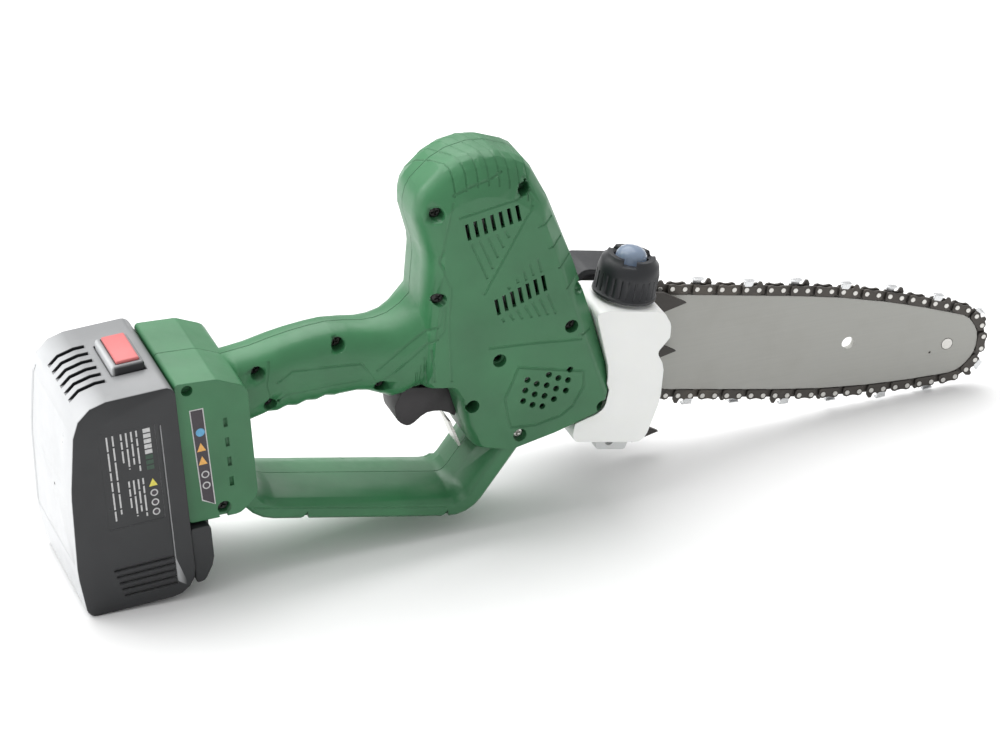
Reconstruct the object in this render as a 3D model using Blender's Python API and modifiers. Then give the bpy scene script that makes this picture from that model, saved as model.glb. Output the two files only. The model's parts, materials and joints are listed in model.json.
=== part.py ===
"""Cordless mini chainsaw: two-part plastic housing with a hand guard loop, a leaning motor with a bevel gear,
a guide bar and chain on the operator's left, a chain-oil tank with a press bulb, and a slide-on battery.

World frame: metres, +X towards the tip of the bar, +Y to the operator's left, +Z up. The saw stands on the
lower rear edge of its battery and on the nose of the chain, and the origin is under the middle of its box.
Inside, the saw frame has its origin where the output shaft meets the housing seam, x along the bar and z
square to it. Shapes are given in that frame in millimetres, and MM turns them into metres.
"""

import math

import bmesh
import bpy
from mathutils import Matrix, Vector

MM = 0.001

# Stance of the saw frame in the world
STANCE_TILT = math.radians(10.74)
STANCE_X = -12.3
STANCE_Y = -6.75
STANCE_Z = 70.5

# Housing
SEAM_GAP = 0.3
WALL = 2.6
HEAD_HALF = 25.0
HANDLE_HALF = 15.0
GUARD_HALF = 24.0
BAR_FACE_Y = 17.0
# Corners of the head as x, z, radius, then how far the edge rolls in on the right and on the left side
HEAD_OUTLINE = (
    (-71.5, 62, 20, 7, 14), (-81, 82, 10, 10, 14), (-80.5, 93, 8, 13, 14), (-69, 108.5, 16, 16, 14),
    (-51, 115.5, 16, 18, 14), (-30, 112, 14, 17, 14), (-15.5, 93.5, 14, 9, 12), (2.5, 63.5, 40, 4, 9),
    (19.5, 32, 60, 4, 8), (34, 3, 12, 4, 4), (34, -14, 7, 4, 4), (10, -27, 30, 4, 4), (-12, -36.5, 6, 4, 4),
    (-30, -34, 4, 3, 3), (-37, -22, 3, 3, 3), (-43.5, -9, 3, 3, 3), (-48.5, -3, 4, 3, 3),
    (-62, -3.5, 3, 3, 3), (-69.5, 42, 20, 6, 14),
)
# The rolled edge from the flat side inwards: shares of the depth below the side and of the roll
ROLL_DEPTH_RIGHT, ROLL_DEPTH_LEFT = 13.0, 18.0
ROLL_RIGHT = ((0, 1), (0.2, 0.56), (0.42, 0.27), (0.68, 0.08), (1, 0))
ROLL_LEFT = ((0, 1), (0.3, 0.5), (0.65, 0.15), (1, 0))
# Cross-sections of the handle as x, lowest z, highest z and half its width
HANDLE_STATIONS = (
    (-164, -38, -12, 15), (-158, -37, 4.5, 15), (-150, -34, 7, 15), (-143, -28, 9.2, 15),
    (-134, -23.6, 13.2, 15), (-126, -20.8, 16.4, 15), (-117, -18.2, 19.4, 15), (-108, -15.4, 21.8, 15),
    (-99, -12.9, 22.6, 15), (-90, -11, 22.8, 15.4), (-84, -10.8, 24, 16), (-78, -12.2, 26.6, 17),
    (-72.5, -13.6, 31.5, 18.5), (-68, -11.8, 38, 20), (-64, -9, 44, 21.2), (-58, -6.4, 48, 22),
    (-50, -4, 50, 22.4),
)
HANDLE_POWER = 2.6
HANDLE_SIDES = 28
# Finger waves under the palm: where they run along x, how many, and how deep
GRIP_START, GRIP_END, GRIP_WAVES, GRIP_DEPTH = -134, -98, 4, 0.6
GRIP_STEP = 2.25
# The chamfers down the sloping front: their width, a point on them, the front's lean and the wedge that cuts
FRONT_CHAMFER = 12.0
CHAMFER_X, CHAMFER_Z = 6.5, 50.0
FRONT_LEAN = math.atan2(49, 90)
WEDGE = 20.0
GUARD_PATH = ((-150, -36, 0), (-134, -63, 16), (-31, -63, 12), (-14, -29, 0))
GUARD_THICK = 12.0

# Battery frame: t away from its big face, l along its length, from its lower rear corner
BATTERY_CORNER = (-210.6, -111.9)
BATTERY_LEAN = math.radians(14.7)
BATTERY_T = 50.7
BATTERY_L = 109.0
BATTERY_HALF = 36.0
BATTERY_WALL = 2.8
BATTERY_CROWN = 2.2
RAIL_T = 61.5
RAIL_NECK_HALF = 22.5
RAIL_HEAD_HALF = 26.5
# The shoulder under the rail, which stops against the underside of the base
FOOT_T, FOOT_HALF = 60.5, 34.5
BASE_T0, BASE_T1 = 51.3, 85.0
BASE_L0, BASE_L1 = 33.0, 107.0
BASE_HALF = 32.0
CELL_R, CELL_LEN, CELL_PITCH, CELL_FIRST = 9.1, 65.0, 18.9, 13.2

# Drive
MOTOR_LEAN = math.radians(30.0)
MOTOR_R, MOTOR_S0, MOTOR_S1 = 18.0, 43.0, 100.0
PINION_TEETH, RING_TEETH = 8, 24
RING_R = 18.2
SHAFT_R = 4.0
SPROCKET_TEETH, NOSE_TEETH = 7, 10

# Bar and chain
CHAIN_PITCH = 6.35
BAR_Y = 26.0
BAR_THICK = 3.2
BAR_HALF = 25.6
NOSE_X = 240.2
RIVET_OUT = 3.3
CHAIN_LINKS = 88
CHAIN_BODY_WIDTH = 4.4

# Oil tank
TANK_OUTLINE = (
    (18, 37, 5), (31, 7, 16), (31, -15, 5), (19, -20, 2), (19, -30.5, 4), (57, -30.5, 6), (61, -8, 20),
    (59, 10, 8), (54, 17, 3), (59, 25, 3), (58, 32, 4), (53, 38.5, 4), (24, 38.5, 3),
)
TANK_Y0, TANK_Y1 = -22.0, 12.0
CAP_X, CAP_Y, CAP_Z, CAP_R, CAP_H = 38.5, -5.0, 40.5, 15.5, 20.0
CAP_NOTCH_TURN, CAP_NOTCH_OUT = 4, 13.0

# Screws that close the housing: x, z and the depth of the pocket's floor
SCREWS = (
    (-72.5, 86.5, -17), (-63.8, 44.5, -19), (5, 32, -19), (-37, -10, -14), (-10, -25, -19),
    (-104.5, 15.5, -5), (-80, -4.5, -7), (-133, -14.5, -6), (-141.5, 1, -5),
)
BASE_SCREWS = ((68.5, 38),)
BLIND_POCKETS = ((-28, 14, -21), (-32, 100, -14), (8, 49, -15), (30, -10, -16))
POCKET_R, BOSS_R, PILOT_R = 3.4, 5.1, 1.8
# A screw's length below its pocket's floor, and the furthest that its tip goes into the left shell
SCREW_REACH, TIP_Y = 24.0, 10.0


def clear_scene():
    for obj in list(bpy.data.objects):
        bpy.data.objects.remove(obj, do_unlink=True)


def new_collection(name):
    made = bpy.data.collections.new(name)
    bpy.context.scene.collection.children.link(made)
    return made


clear_scene()
PARTS = new_collection("chainsaw")
CUTTERS = new_collection("cutters")
CUTTERS.hide_render = True


def frame(name, parent, x, z, turn, y=0.0):
    """An empty placed in mm and turned about Y."""
    empty = bpy.data.objects.new(name, None)
    PARTS.objects.link(empty)
    empty.parent = parent
    empty.location = (x * MM, y * MM, z * MM)
    empty.rotation_euler = (0, turn, 0)
    return empty


SAW = frame("saw_frame", None, STANCE_X, STANCE_Z, STANCE_TILT, STANCE_Y)
BATTERY = frame("battery_frame", SAW, *BATTERY_CORNER, -BATTERY_LEAN)
MOTOR = frame("motor_frame", SAW, 0, 0, -MOTOR_LEAN)


def material(name, colour, roughness, metallic=0.0):
    made = bpy.data.materials.new(name)
    made.use_nodes = True
    shader = made.node_tree.nodes["Principled BSDF"]
    shader.inputs["Base Color"].default_value = (*colour, 1)
    shader.inputs["Roughness"].default_value = roughness
    shader.inputs["Metallic"].default_value = metallic
    made.diffuse_color = (*colour, 1)
    return made


GREEN = material("green_plastic", (0.03, 0.16, 0.06), 0.5)
BLACK = material("black_plastic", (0.018, 0.018, 0.02), 0.45)
WHITE = material("white_polyethylene", (0.85, 0.86, 0.84), 0.4)
PINK = material("red_button", (0.8, 0.12, 0.12), 0.4)
STEEL = material("bright_steel", (0.6, 0.6, 0.6), 0.3, 1.0)
DARK_STEEL = material("dark_steel", (0.07, 0.07, 0.08), 0.45, 1.0)
BAR_STEEL = material("ground_steel", (0.42, 0.42, 0.41), 0.4, 1.0)
ALUMINIUM = material("cast_aluminium", (0.55, 0.56, 0.57), 0.5, 1.0)
BLUE_BULB = material("clear_blue_rubber", (0.35, 0.5, 0.62), 0.25)
CELL_WRAP = material("cell_wrap", (0.05, 0.25, 0.45), 0.4)
BOARD = material("circuit_board", (0.02, 0.12, 0.08), 0.4)


ARC_STEP = math.radians(24)
LEAST_TURN = math.radians(4)


def arc_counts(points, step=ARC_STEP):
    """How many chords each corner's arc takes: none at a sharp corner, or at one that hardly turns."""
    counts = []
    for i, point in enumerate(points):
        before = Vector(points[i - 1][:2]) - Vector(point[:2])
        after = Vector(points[(i + 1) % len(points)][:2]) - Vector(point[:2])
        turn = math.pi - before.angle(after)
        sharp = len(point) < 3 or point[2] == 0 or turn < LEAST_TURN
        counts.append(0 if sharp else max(1, round(turn / step)))
    return counts


def rounded(points, step=ARC_STEP, counts=None):
    """The outline's (x, z) points, with each corner that carries a radius turned into an arc."""
    out = []
    for i, count in enumerate(counts or arc_counts(points, step)):
        here = Vector(points[i][:2])
        if count == 0:
            out.append(here)
            continue
        before = Vector(points[i - 1][:2]) - here
        after = Vector(points[(i + 1) % len(points)][:2]) - here
        corner = before.angle(after)
        tangent = math.tan(corner / 2)
        reach = min(points[i][2] / tangent, 0.46 * before.length, 0.46 * after.length)
        radius = reach * tangent
        middle = (before.normalized() + after.normalized()).normalized()
        centre = here + middle * radius / math.sin(corner / 2)
        start = here + before.normalized() * reach - centre
        turn = math.pi - corner
        sign = 1 if before.x * after.y - before.y * after.x < 0 else -1
        for k in range(count + 1):
            out.append(centre + Matrix.Rotation(sign * turn * k / count, 2) @ start)
    return out


def inset(points, distance):
    """The outline (clockwise or not) moved inwards by a distance, corner by corner."""
    count = len(points)
    area = sum(points[i - 1][0] * points[i][1] - points[i][0] * points[i - 1][1] for i in range(count))
    side = 1 if area > 0 else -1
    out = []
    for i in range(count):
        here = Vector(points[i][:2])
        first = (here - Vector(points[i - 1][:2])).normalized()
        second = (Vector(points[(i + 1) % count][:2]) - here).normalized()
        normal = side * Vector((-first.y - second.y, first.x + second.x)).normalized()
        reach = distance / max(0.35, abs(normal.dot(side * Vector((-first.y, first.x)))))
        moved = here + normal * reach
        out.append((moved.x, moved.y, *points[i][2:]))
    return out


def place(obj, parent, mat=None):
    obj.parent = parent
    if mat is None:
        CUTTERS.objects.link(obj)
        obj.hide_render = True
        obj.display_type = "WIRE"
        return obj
    PARTS.objects.link(obj)
    obj.data.materials.clear()
    obj.data.materials.append(mat)
    return obj


def settle(obj):
    """Turns an object's evaluated shape into its own mesh."""
    bpy.context.view_layer.update()
    graph = bpy.context.evaluated_depsgraph_get()
    mesh = bpy.data.meshes.new_from_object(obj.evaluated_get(graph))
    cleaned = bmesh.new()
    cleaned.from_mesh(mesh)
    bmesh.ops.remove_doubles(cleaned, verts=cleaned.verts, dist=0.00001)
    bmesh.ops.dissolve_degenerate(cleaned, dist=0.000005, edges=cleaned.edges)
    if obj.type == "CURVE":
        bmesh.ops.recalc_face_normals(cleaned, faces=cleaned.faces)
    cleaned.to_mesh(mesh)
    cleaned.free()
    mesh.name = obj.name
    if obj.type == "MESH":
        obj.modifiers.clear()
        obj.data = mesh
        return obj
    made = bpy.data.objects.new(obj.name + "_mesh", mesh)
    made.parent = obj.parent
    made.matrix_local = obj.matrix_local
    for owner in obj.users_collection:
        owner.objects.link(made)
    made.hide_render = obj.hide_render
    made.display_type = obj.display_type
    name = obj.name
    bpy.data.objects.remove(obj, do_unlink=True)
    made.name = name
    return made


def plate(name, outlines, y0, y1, parent=None, mat=None):
    """A flat outline, with any further outlines as holes, drawn in XZ and extruded from y0 to y1."""
    curve = bpy.data.curves.new(name, "CURVE")
    curve.dimensions = "2D"
    curve.fill_mode = "BOTH"
    curve.extrude = abs(y1 - y0) / 2 * MM
    for outline in outlines:
        line = curve.splines.new("POLY")
        line.points.add(len(outline) - 1)
        for point, (x, z) in zip(line.points, outline):
            point.co = (x * MM, z * MM, 0, 1)
        line.use_cyclic_u = True
    obj = bpy.data.objects.new(name, curve)
    place(obj, parent or SAW, mat)
    obj.location = (0, (y0 + y1) / 2 * MM, 0)
    obj.rotation_euler = (math.pi / 2, 0, 0)
    return settle(obj)


def box(name, lows, highs, parent=None, mat=None):
    """A box between two corners, in mm."""
    mesh = bpy.data.meshes.new(name)
    form = bmesh.new()
    bmesh.ops.create_cube(form, size=1)
    size = [(b - a) * MM for a, b in zip(lows, highs)]
    middle = [(a + b) / 2 * MM for a, b in zip(lows, highs)]
    bmesh.ops.scale(form, verts=form.verts, vec=size)
    form.to_mesh(mesh)
    form.free()
    obj = bpy.data.objects.new(name, mesh)
    place(obj, parent or SAW, mat)
    obj.location = middle
    return obj


def turned(name, profile, centre, axis, parent=None, mat=None, steps=20):
    """A (radius, height) profile, from the top down its outer side, turned about an axis through a centre."""
    mesh = bpy.data.meshes.new(name)
    points = [(radius * MM, 0, height * MM) for radius, height in profile]
    mesh.from_pydata(points, [(i, i + 1) for i in range(len(points) - 1)], [])
    obj = bpy.data.objects.new(name, mesh)
    place(obj, parent or SAW, mat)
    obj.location = [value * MM for value in centre]
    obj.rotation_euler = Vector((0, 0, 1)).rotation_difference(Vector(axis)).to_euler()
    screw = obj.modifiers.new("Turn", "SCREW")
    screw.axis = "Z"
    screw.steps = steps
    screw.render_steps = steps
    screw.use_merge_vertices = True
    screw.merge_threshold = 0.00001
    return settle(obj)


def rod(name, radius, ends, centre, axis, parent=None, mat=None, steps=20):
    low, high = ends
    profile = ((0, high), (radius, high), (radius, low), (0, low))
    return turned(name, profile, centre, axis, parent, mat, steps)


def ring(name, inner, outer, ends, centre, axis, parent=None, mat=None, steps=20):
    low, high = ends
    profile = ((inner, high), (outer, high), (outer, low), (inner, low), (inner, high))
    return turned(name, profile, centre, axis, parent, mat, steps)


def soften(obj, width, segments=2, angle=35):
    bevel = obj.modifiers.new("Soften", "BEVEL")
    bevel.width = width * MM
    bevel.segments = segments
    bevel.limit_method = "ANGLE"
    bevel.angle_limit = math.radians(angle)
    return settle(obj)


def combine(obj, others, operation):
    for other in others:
        step = obj.modifiers.new(other.name, "BOOLEAN")
        step.operation = operation
        step.solver = "MANIFOLD"
        step.object = other
        settle(obj)
    return obj


def cut(obj, *others):
    return combine(obj, others, "DIFFERENCE")


def join(obj, *others):
    return combine(obj, others, "UNION")


def gathered(name, cutters):
    """Several cutters that don't touch, as one cutter in the saw frame."""
    bpy.context.view_layer.update()
    form = bmesh.new()
    for cutter in cutters:
        piece = cutter.data.copy()
        piece.transform(SAW.matrix_world.inverted() @ cutter.matrix_world)
        form.from_mesh(piece)
        bpy.data.meshes.remove(piece)
        bpy.data.objects.remove(cutter, do_unlink=True)
    mesh = bpy.data.meshes.new(name)
    form.to_mesh(mesh)
    form.free()
    return place(bpy.data.objects.new(name, mesh), SAW)


def copy_of(obj, name, mat=None):
    made = bpy.data.objects.new(name, obj.data.copy())
    place(made, obj.parent, mat)
    made.location = obj.location
    made.rotation_euler = obj.rotation_euler
    return made


def shade(obj):
    obj.data.shade_smooth()
    obj.data.set_sharp_from_angle(angle=math.radians(32))


def gear(name, teeth, root, tip, ends, centre, axis, taper=0.0, bore=0.0, parent=None, mat=None):
    """A toothed wheel on an axis. taper shrinks its upper face by that many mm."""
    low, high = ends
    outline = []
    for i in range(teeth):
        for share, radius in ((-0.32, root), (-0.16, tip), (0.16, tip), (0.32, root)):
            angle = (i + share) * 2 * math.pi / teeth
            outline.append((radius * math.cos(angle), radius * math.sin(angle)))
    form = bmesh.new()
    rims = []
    for height, shrink in ((low, 0.0), (high, taper)):
        factor = (tip - shrink) / tip
        rims.append([form.verts.new((x * factor * MM, y * factor * MM, height * MM)) for x, y in outline])
    count = len(outline)
    for i in range(count):
        j = (i + 1) % count
        form.faces.new((rims[0][i], rims[0][j], rims[1][j], rims[1][i]))
    form.faces.new(rims[1])
    form.faces.new(rims[0][::-1])
    mesh = bpy.data.meshes.new(name)
    form.to_mesh(mesh)
    form.free()
    obj = bpy.data.objects.new(name, mesh)
    place(obj, parent or SAW, mat)
    obj.location = [value * MM for value in centre]
    obj.rotation_euler = Vector((0, 0, 1)).rotation_difference(Vector(axis)).to_euler()
    if bore:
        cut(obj, rod(name + "_bore", bore, (low - 1, high + 1), centre, axis, parent, None, 16))
    return obj


# Housing -----------------------------------------------------------------------------------------------


def head_rim(side, share, shrink):
    """The head's outline, rolled in by a share of each corner's own amount on that side."""
    roll = 4 if side > 0 else 3
    corners = []
    for i, corner in enumerate(HEAD_OUTLINE):
        moved = inset(HEAD_OUTLINE, shrink + share * corner[roll])[i]
        corners.append(moved[:3])
    return rounded(corners, counts=arc_counts(HEAD_OUTLINE))


def head_solid(name, shrink):
    half = HEAD_HALF - shrink
    levels = []
    for depth, share in ROLL_RIGHT:
        levels.append((ROLL_DEPTH_RIGHT * depth - half, head_rim(-1, share, shrink)))
    for depth, share in reversed(ROLL_LEFT):
        levels.append((half - ROLL_DEPTH_LEFT * depth, head_rim(1, share, shrink)))
    solid = lofted(name, [[(x, y, z) for x, z in rim] for y, rim in levels])
    for side in (-1, 1):
        wedge = box(f"{name}_wedge_{side}", (-WEDGE, -WEDGE, -90), (WEDGE, WEDGE, 90))
        depth = shrink / math.cos(math.radians(45))
        across = HEAD_HALF - FRONT_CHAMFER / 2 - shrink * 0.2
        corner = Vector((CHAMFER_X - depth, side * across, CHAMFER_Z)) * MM
        turn = Matrix.Rotation(-FRONT_LEAN, 3, "Y") @ Matrix.Rotation(side * math.radians(45), 3, "Z")
        wedge.rotation_mode = "YXZ"
        wedge.location = corner + turn @ Vector((WEDGE * MM, 0, 0))
        wedge.rotation_euler = turn.to_euler("YXZ")
        cut(solid, wedge)
    return solid


def handle_stations():
    """The handle's cross-sections, closer together along the finger waves of its underside."""
    spots = [station[0] for station in HANDLE_STATIONS]
    count = round((GRIP_END - GRIP_START) / GRIP_STEP)
    spots += [GRIP_START + GRIP_STEP * i for i in range(1, count)]
    stations = []
    for x in sorted(set(spots)):
        after = next(i for i, station in enumerate(HANDLE_STATIONS) if station[0] >= x) or 1
        one, other = HANDLE_STATIONS[after - 1], HANDLE_STATIONS[after]
        share = (x - one[0]) / (other[0] - one[0])
        low, high, half = (a + (b - a) * share for a, b in zip(one[1:], other[1:]))
        if GRIP_START < x < GRIP_END:
            along_grip = (x - GRIP_START) / (GRIP_END - GRIP_START)
            low += GRIP_DEPTH * math.sin(2 * math.pi * GRIP_WAVES * along_grip)
        stations.append((x, low, high, half))
    return stations


def handle_rim(station, shrink):
    """One rounded cross-section of the handle, as y and z."""
    _, low, high, half = station
    middle, rise, width = (low + high) / 2, (high - low) / 2 - shrink, half - shrink
    rim = []
    for i in range(HANDLE_SIDES):
        angle = 2 * math.pi * (i + 0.5) / HANDLE_SIDES
        across = math.copysign(abs(math.cos(angle)) ** (2 / HANDLE_POWER), math.cos(angle))
        up = math.copysign(abs(math.sin(angle)) ** (2 / HANDLE_POWER), math.sin(angle))
        rim.append((width * across, middle + rise * up))
    return rim


def lofted(name, rims):
    """A closed solid through rims of equally many points in mm, capped at both ends."""
    form = bmesh.new()
    rings = [[form.verts.new(Vector(point) * MM) for point in rim] for rim in rims]
    for one, other in zip(rings, rings[1:]):
        for i in range(len(one)):
            form.faces.new((one[i - 1], one[i], other[i], other[i - 1]))
    form.faces.new(rings[0])
    form.faces.new(rings[-1])
    bmesh.ops.recalc_face_normals(form, faces=form.faces)
    mesh = bpy.data.meshes.new(name)
    form.to_mesh(mesh)
    form.free()
    return place(bpy.data.objects.new(name, mesh), SAW)


def handle_solid(name, shrink):
    return lofted(name, [[(s[0], y, z) for y, z in handle_rim(s, shrink)] for s in handle_stations()])


def base_solid(name):
    outline = rounded((
        (BASE_T0, BASE_L0 + 1, 2), (BASE_T0, BASE_L1, 2), (BASE_T1 - 14, BASE_L1 - 2, 5),
        (BASE_T1, BASE_L1 - 9, 6), (BASE_T1, BASE_L0 + 8, 6), (BASE_T1 - 9, BASE_L0, 6),
    ))
    return soften(plate(name, [outline], -BASE_HALF, BASE_HALF, BATTERY), 5, 3, 50)


def guard_solid(name):
    """The hand guard: a crowned strap swept along a path in the seam plane."""
    half = GUARD_THICK / 2
    section = bpy.data.curves.new(name + "_section", "CURVE")
    section.dimensions = "2D"
    line = section.splines.new("POLY")
    points = []
    for w, h in (
        (-1.0, -0.1), (-0.83, -0.55), (-0.45, -0.92), (0, -1.0), (0.45, -0.92), (0.83, -0.55), (1.0, -0.1),
        (1.0, 0.75), (0.94, 1.0), (-0.94, 1.0), (-1.0, 0.75),
    ):
        points.append((h * half * MM, w * GUARD_HALF * MM))
    line.points.add(len(points) - 1)
    for point, (x, y) in zip(line.points, points):
        point.co = (x, y, 0, 1)
    line.use_cyclic_u = True
    guide = bpy.data.objects.new(name + "_section", section)
    place(guide, SAW)
    path = bpy.data.curves.new(name, "CURVE")
    path.dimensions = "2D"
    path.bevel_mode = "OBJECT"
    path.bevel_object = guide
    path.use_fill_caps = True
    line = path.splines.new("POLY")
    stretch = open_path(GUARD_PATH)
    line.points.add(len(stretch) - 1)
    for point, (x, z) in zip(line.points, stretch):
        point.co = (x * MM, z * MM, 0, 1)
    obj = bpy.data.objects.new(name, path)
    place(obj, SAW)
    obj.rotation_euler = (math.pi / 2, 0, 0)
    return settle(obj)


def open_path(points):
    """The corners of an open path turned into arcs, with its two ends kept."""
    inner = rounded(points, math.radians(15))
    first, last = Vector(points[0][:2]), Vector(points[-1][:2])
    kept = [p for p in inner if (p - first).length > 1e-6 and (p - last).length > 1e-6]
    return [first, *kept, last]


def screw_spots():
    """Every housing screw as a name, its parent frame, its x and z there and its pocket floor."""
    spots = [(f"housing_screw_{i + 1}", SAW, *spot) for i, spot in enumerate(SCREWS)]
    spots += [(f"base_screw_{i + 1}", BATTERY, t, l, -26) for i, (t, l) in enumerate(BASE_SCREWS)]
    return spots


def screw_tip(floor):
    return min(floor + SCREW_REACH, TIP_Y)


def build_housing():
    body = head_solid("body", 0)
    join(body, handle_solid("body_handle", 0), base_solid("body_base"), guard_solid("body_guard"))

    hollow = head_solid("hollow", WALL)
    join(hollow, handle_solid("hollow_handle", WALL))
    lows = (BASE_T0 + 13.5, -(BASE_HALF - WALL), BASE_L0 + WALL + 1.5)
    highs = (BASE_T1 - WALL, BASE_HALF - WALL, BASE_L1 - 14)
    join(hollow, box("hollow_base", lows, highs, BATTERY))
    cut(hollow, box("bar_wall", (-38.6, BAR_FACE_Y - WALL, -60), (80, 40, 31)))
    for name, parent, x, z, _ in screw_spots():
        cut(hollow, rod(name + "_boss", BOSS_R, (-40, 40), (x, 0, z), (0, 1, 0), parent, None, 10))
    for x, z, floor in BLIND_POCKETS:
        walls = (floor - 20, floor + 2)
        cut(hollow, rod(f"boss_{x}_{z}", POCKET_R + 1.5, walls, (x, 0, z), (0, 1, 0), SAW, None, 10))
    cut(body, hollow)

    channel = (
        box("channel_neck", (40, -RAIL_NECK_HALF - 0.5, 20), (56, RAIL_NECK_HALF + 0.5, 96.6), BATTERY),
        box("channel_head", (55.7, -RAIL_HEAD_HALF - 0.5, 20), (62.2, RAIL_HEAD_HALF + 0.5, 96.6), BATTERY),
        box("terminal_window", (61, -20.3, 55), (70, 20.3, 90), BATTERY),
        box("trigger_slot", (-69.7, -9.6, -30), (-36.3, 9.6, -0.3)),
    )
    cut(body, *channel)
    for name, parent, x, z, floor in screw_spots():
        pilot = (-38, screw_tip(floor) + 1)
        cut(body, rod(name + "_pilot", PILOT_R, pilot, (x, 0, z), (0, 1, 0), parent, None, 8))

    right = copy_of(body, "housing_right", GREEN)
    cut(right, box("beyond_seam", (-300, -SEAM_GAP / 2, -150), (120, 80, 200)))
    for name, parent, x, z, floor in screw_spots():
        cut(right, rod(name + "_pocket", POCKET_R, (-45, floor), (x, 0, z), (0, 1, 0), parent, None, 12))
    for x, z, floor in BLIND_POCKETS:
        cut(right, rod(f"pocket_{x}_{z}", POCKET_R, (-45, floor), (x, 0, z), (0, 1, 0), SAW, None, 12))
    cut(right, gathered("vents", vent_cutters()))

    left = copy_of(body, "housing_left", GREEN)
    cut(left, box("before_seam", (-300, -80, -150), (120, SEAM_GAP / 2, 200)))
    cut(
        left,
        box("bar_side", (-36, BAR_FACE_Y, -60), (80, 40, 28.6)),
        box("flange_gate", (0, 12.1, -20.4), (80, 30, 20.4)),
        rod("gear_case_seat", 21.6, (5, 30), (0, 0, 0), (0, 1, 0)),
        rod("lock_button_hole", 4.3, (5, 30), (-72, 0, 12), (0, 1, 0), SAW, None, 14),
    )
    for obj in (right, left):
        shade(obj)


def vent_cutters():
    """Two slanted rows of seven cooling slots and the dotted grille over the gear."""
    cutters = []
    for row, (start, end) in enumerate((((-56.5, 79), (-33.5, 89)), ((-34.5, 41.5), (-13.5, 54)))):
        for i in range(7):
            x = start[0] + (end[0] - start[0]) * i / 6
            z = start[1] + (end[1] - start[1]) * i / 6
            slot = box(f"slot_{row}_{i}", (-0.9, -35, -4.2), (0.9, -20, 4.2))
            slot.location = (x * MM, -28 * MM, z * MM)
            slot.rotation_euler = (0, -math.radians(22), 0)
            cutters.append(slot)
    for column, (count, rise) in enumerate(((3, 0), (3, -2), (4, 0), (3, 1), (3, 5.5))):
        for i in range(count):
            x = 5.2 * (column - 2) - 1.5
            z = -1.5 + rise + 5.5 * (i - (count - 1) / 2)
            cutters.append(rod(f"grille_{column}_{i}", 1.2, (-35, -20), (x, 0, z), (0, 1, 0), SAW, None, 6))
    return cutters


def build_screws():
    for name, parent, x, z, floor in screw_spots():
        reach = screw_tip(floor)
        top = floor - 0.3
        head = ((2.9, top), (2.9, top - 1.7), (2.2, top - 2.3), (0, top - 2.3))
        profile = ((0, reach), (1.4, reach), (1.4, top), *head)
        shade(turned(name, profile, (x, 0, z), (0, 1, 0), parent, STEEL, 10))


# Motor and gears ---------------------------------------------------------------------------------------


def build_motor():
    up = (0, 0, 1)
    mid = (0, 0, 0)
    can = turned(
        "motor_can",
        (
            (5.2, MOTOR_S1), (MOTOR_R - 1.5, MOTOR_S1), (MOTOR_R, MOTOR_S1 - 1.5), (MOTOR_R, MOTOR_S0 + 1.5),
            (MOTOR_R - 1.5, MOTOR_S0), (5.2, MOTOR_S0), (5.2, MOTOR_S1),
        ),
        mid, up, MOTOR, DARK_STEEL, 24,
    )
    shade(can)
    shade(ring("motor_bearing", 2.9, 4.9, (MOTOR_S0 - 0.5, MOTOR_S0 + 4), mid, up, MOTOR, STEEL, 16))
    shade(rod("rotor_shaft", 2.5, (8.6, 111), mid, up, MOTOR, STEEL, 14))
    gear("bevel_pinion", PINION_TEETH, 4.7, 6.6, (-23.5, -14.5), mid, (0, 0, -1), 2.0, 2.8, MOTOR, STEEL)
    fan = gear("cooling_fan", 9, 8, 14.6, (102, 108), mid, up, 0, 2.8, MOTOR, BLACK)
    shade(fan)


def build_drive():
    across = (0, 1, 0)
    mid = (0, 0, 0)
    bore = SHAFT_R + 0.3
    gear("ring_gear", RING_TEETH, RING_R - 1.4, RING_R, (7.2, 10.4), mid, across, 0, bore, SAW, STEEL)
    shade(rod("output_shaft", SHAFT_R, (-12.5, 30.6), mid, across, SAW, STEEL, 16))
    for name, low in (("bearing_inner", -12.0), ("bearing_outer", 11.2)):
        shade(ring(name, bore, 10.8, (low, low + 6), mid, across, SAW, STEEL, 20))
    gear("drive_sprocket", SPROCKET_TEETH, 8.0, 10.9, (22.5, 29.5), mid, across, 0, bore, SAW, DARK_STEEL)

    case = rod("gear_case", 21.2, (-13.5, 18.5), mid, across, SAW, ALUMINIUM, 28)
    flange = rounded(((0, 20, 2), (40, 20, 4), (68, 18, 6), (68, -18, 6), (40, -20, 4), (0, -20, 2)))
    join(case, plate("case_flange", [flange], 12.5, 18.5))
    cut(
        case,
        rod("gear_room", 19.2, (-4.5, 10.8), mid, across, SAW, None, 28),
        rod("inner_seat", 11.1, (-20, -3), mid, across, SAW, None, 20),
        rod("outer_seat", 11.1, (9, 17.5), mid, across, SAW, None, 20),
        rod("shaft_hole", 6, (16, 25), mid, across, SAW, None, 16),
        rod("pinion_door", 9, (4, 40), mid, (0, 0, 1), MOTOR, None, 16),
        rod("stud_hole", 3.4, (10, 22), (44, 0, 0), across, SAW, None, 12),
    )
    shade(case)


# Bar and chain -----------------------------------------------------------------------------------------


def bar_edge(x):
    """Half the height of the bar's rails: level in the middle, closing slowly to the nose and the tail."""
    nose_r = CHAIN_PITCH / (2 * math.sin(math.pi / (2 * NOSE_TEETH))) - RIVET_OUT
    if x > 150:
        share = (x - 150) / (NOSE_X - 150)
        return BAR_HALF - (BAR_HALF - nose_r) * share ** 2
    if x < 74:
        share = (74 - x) / 48
        return BAR_HALF - 9.5 * share ** 2
    return BAR_HALF


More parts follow.
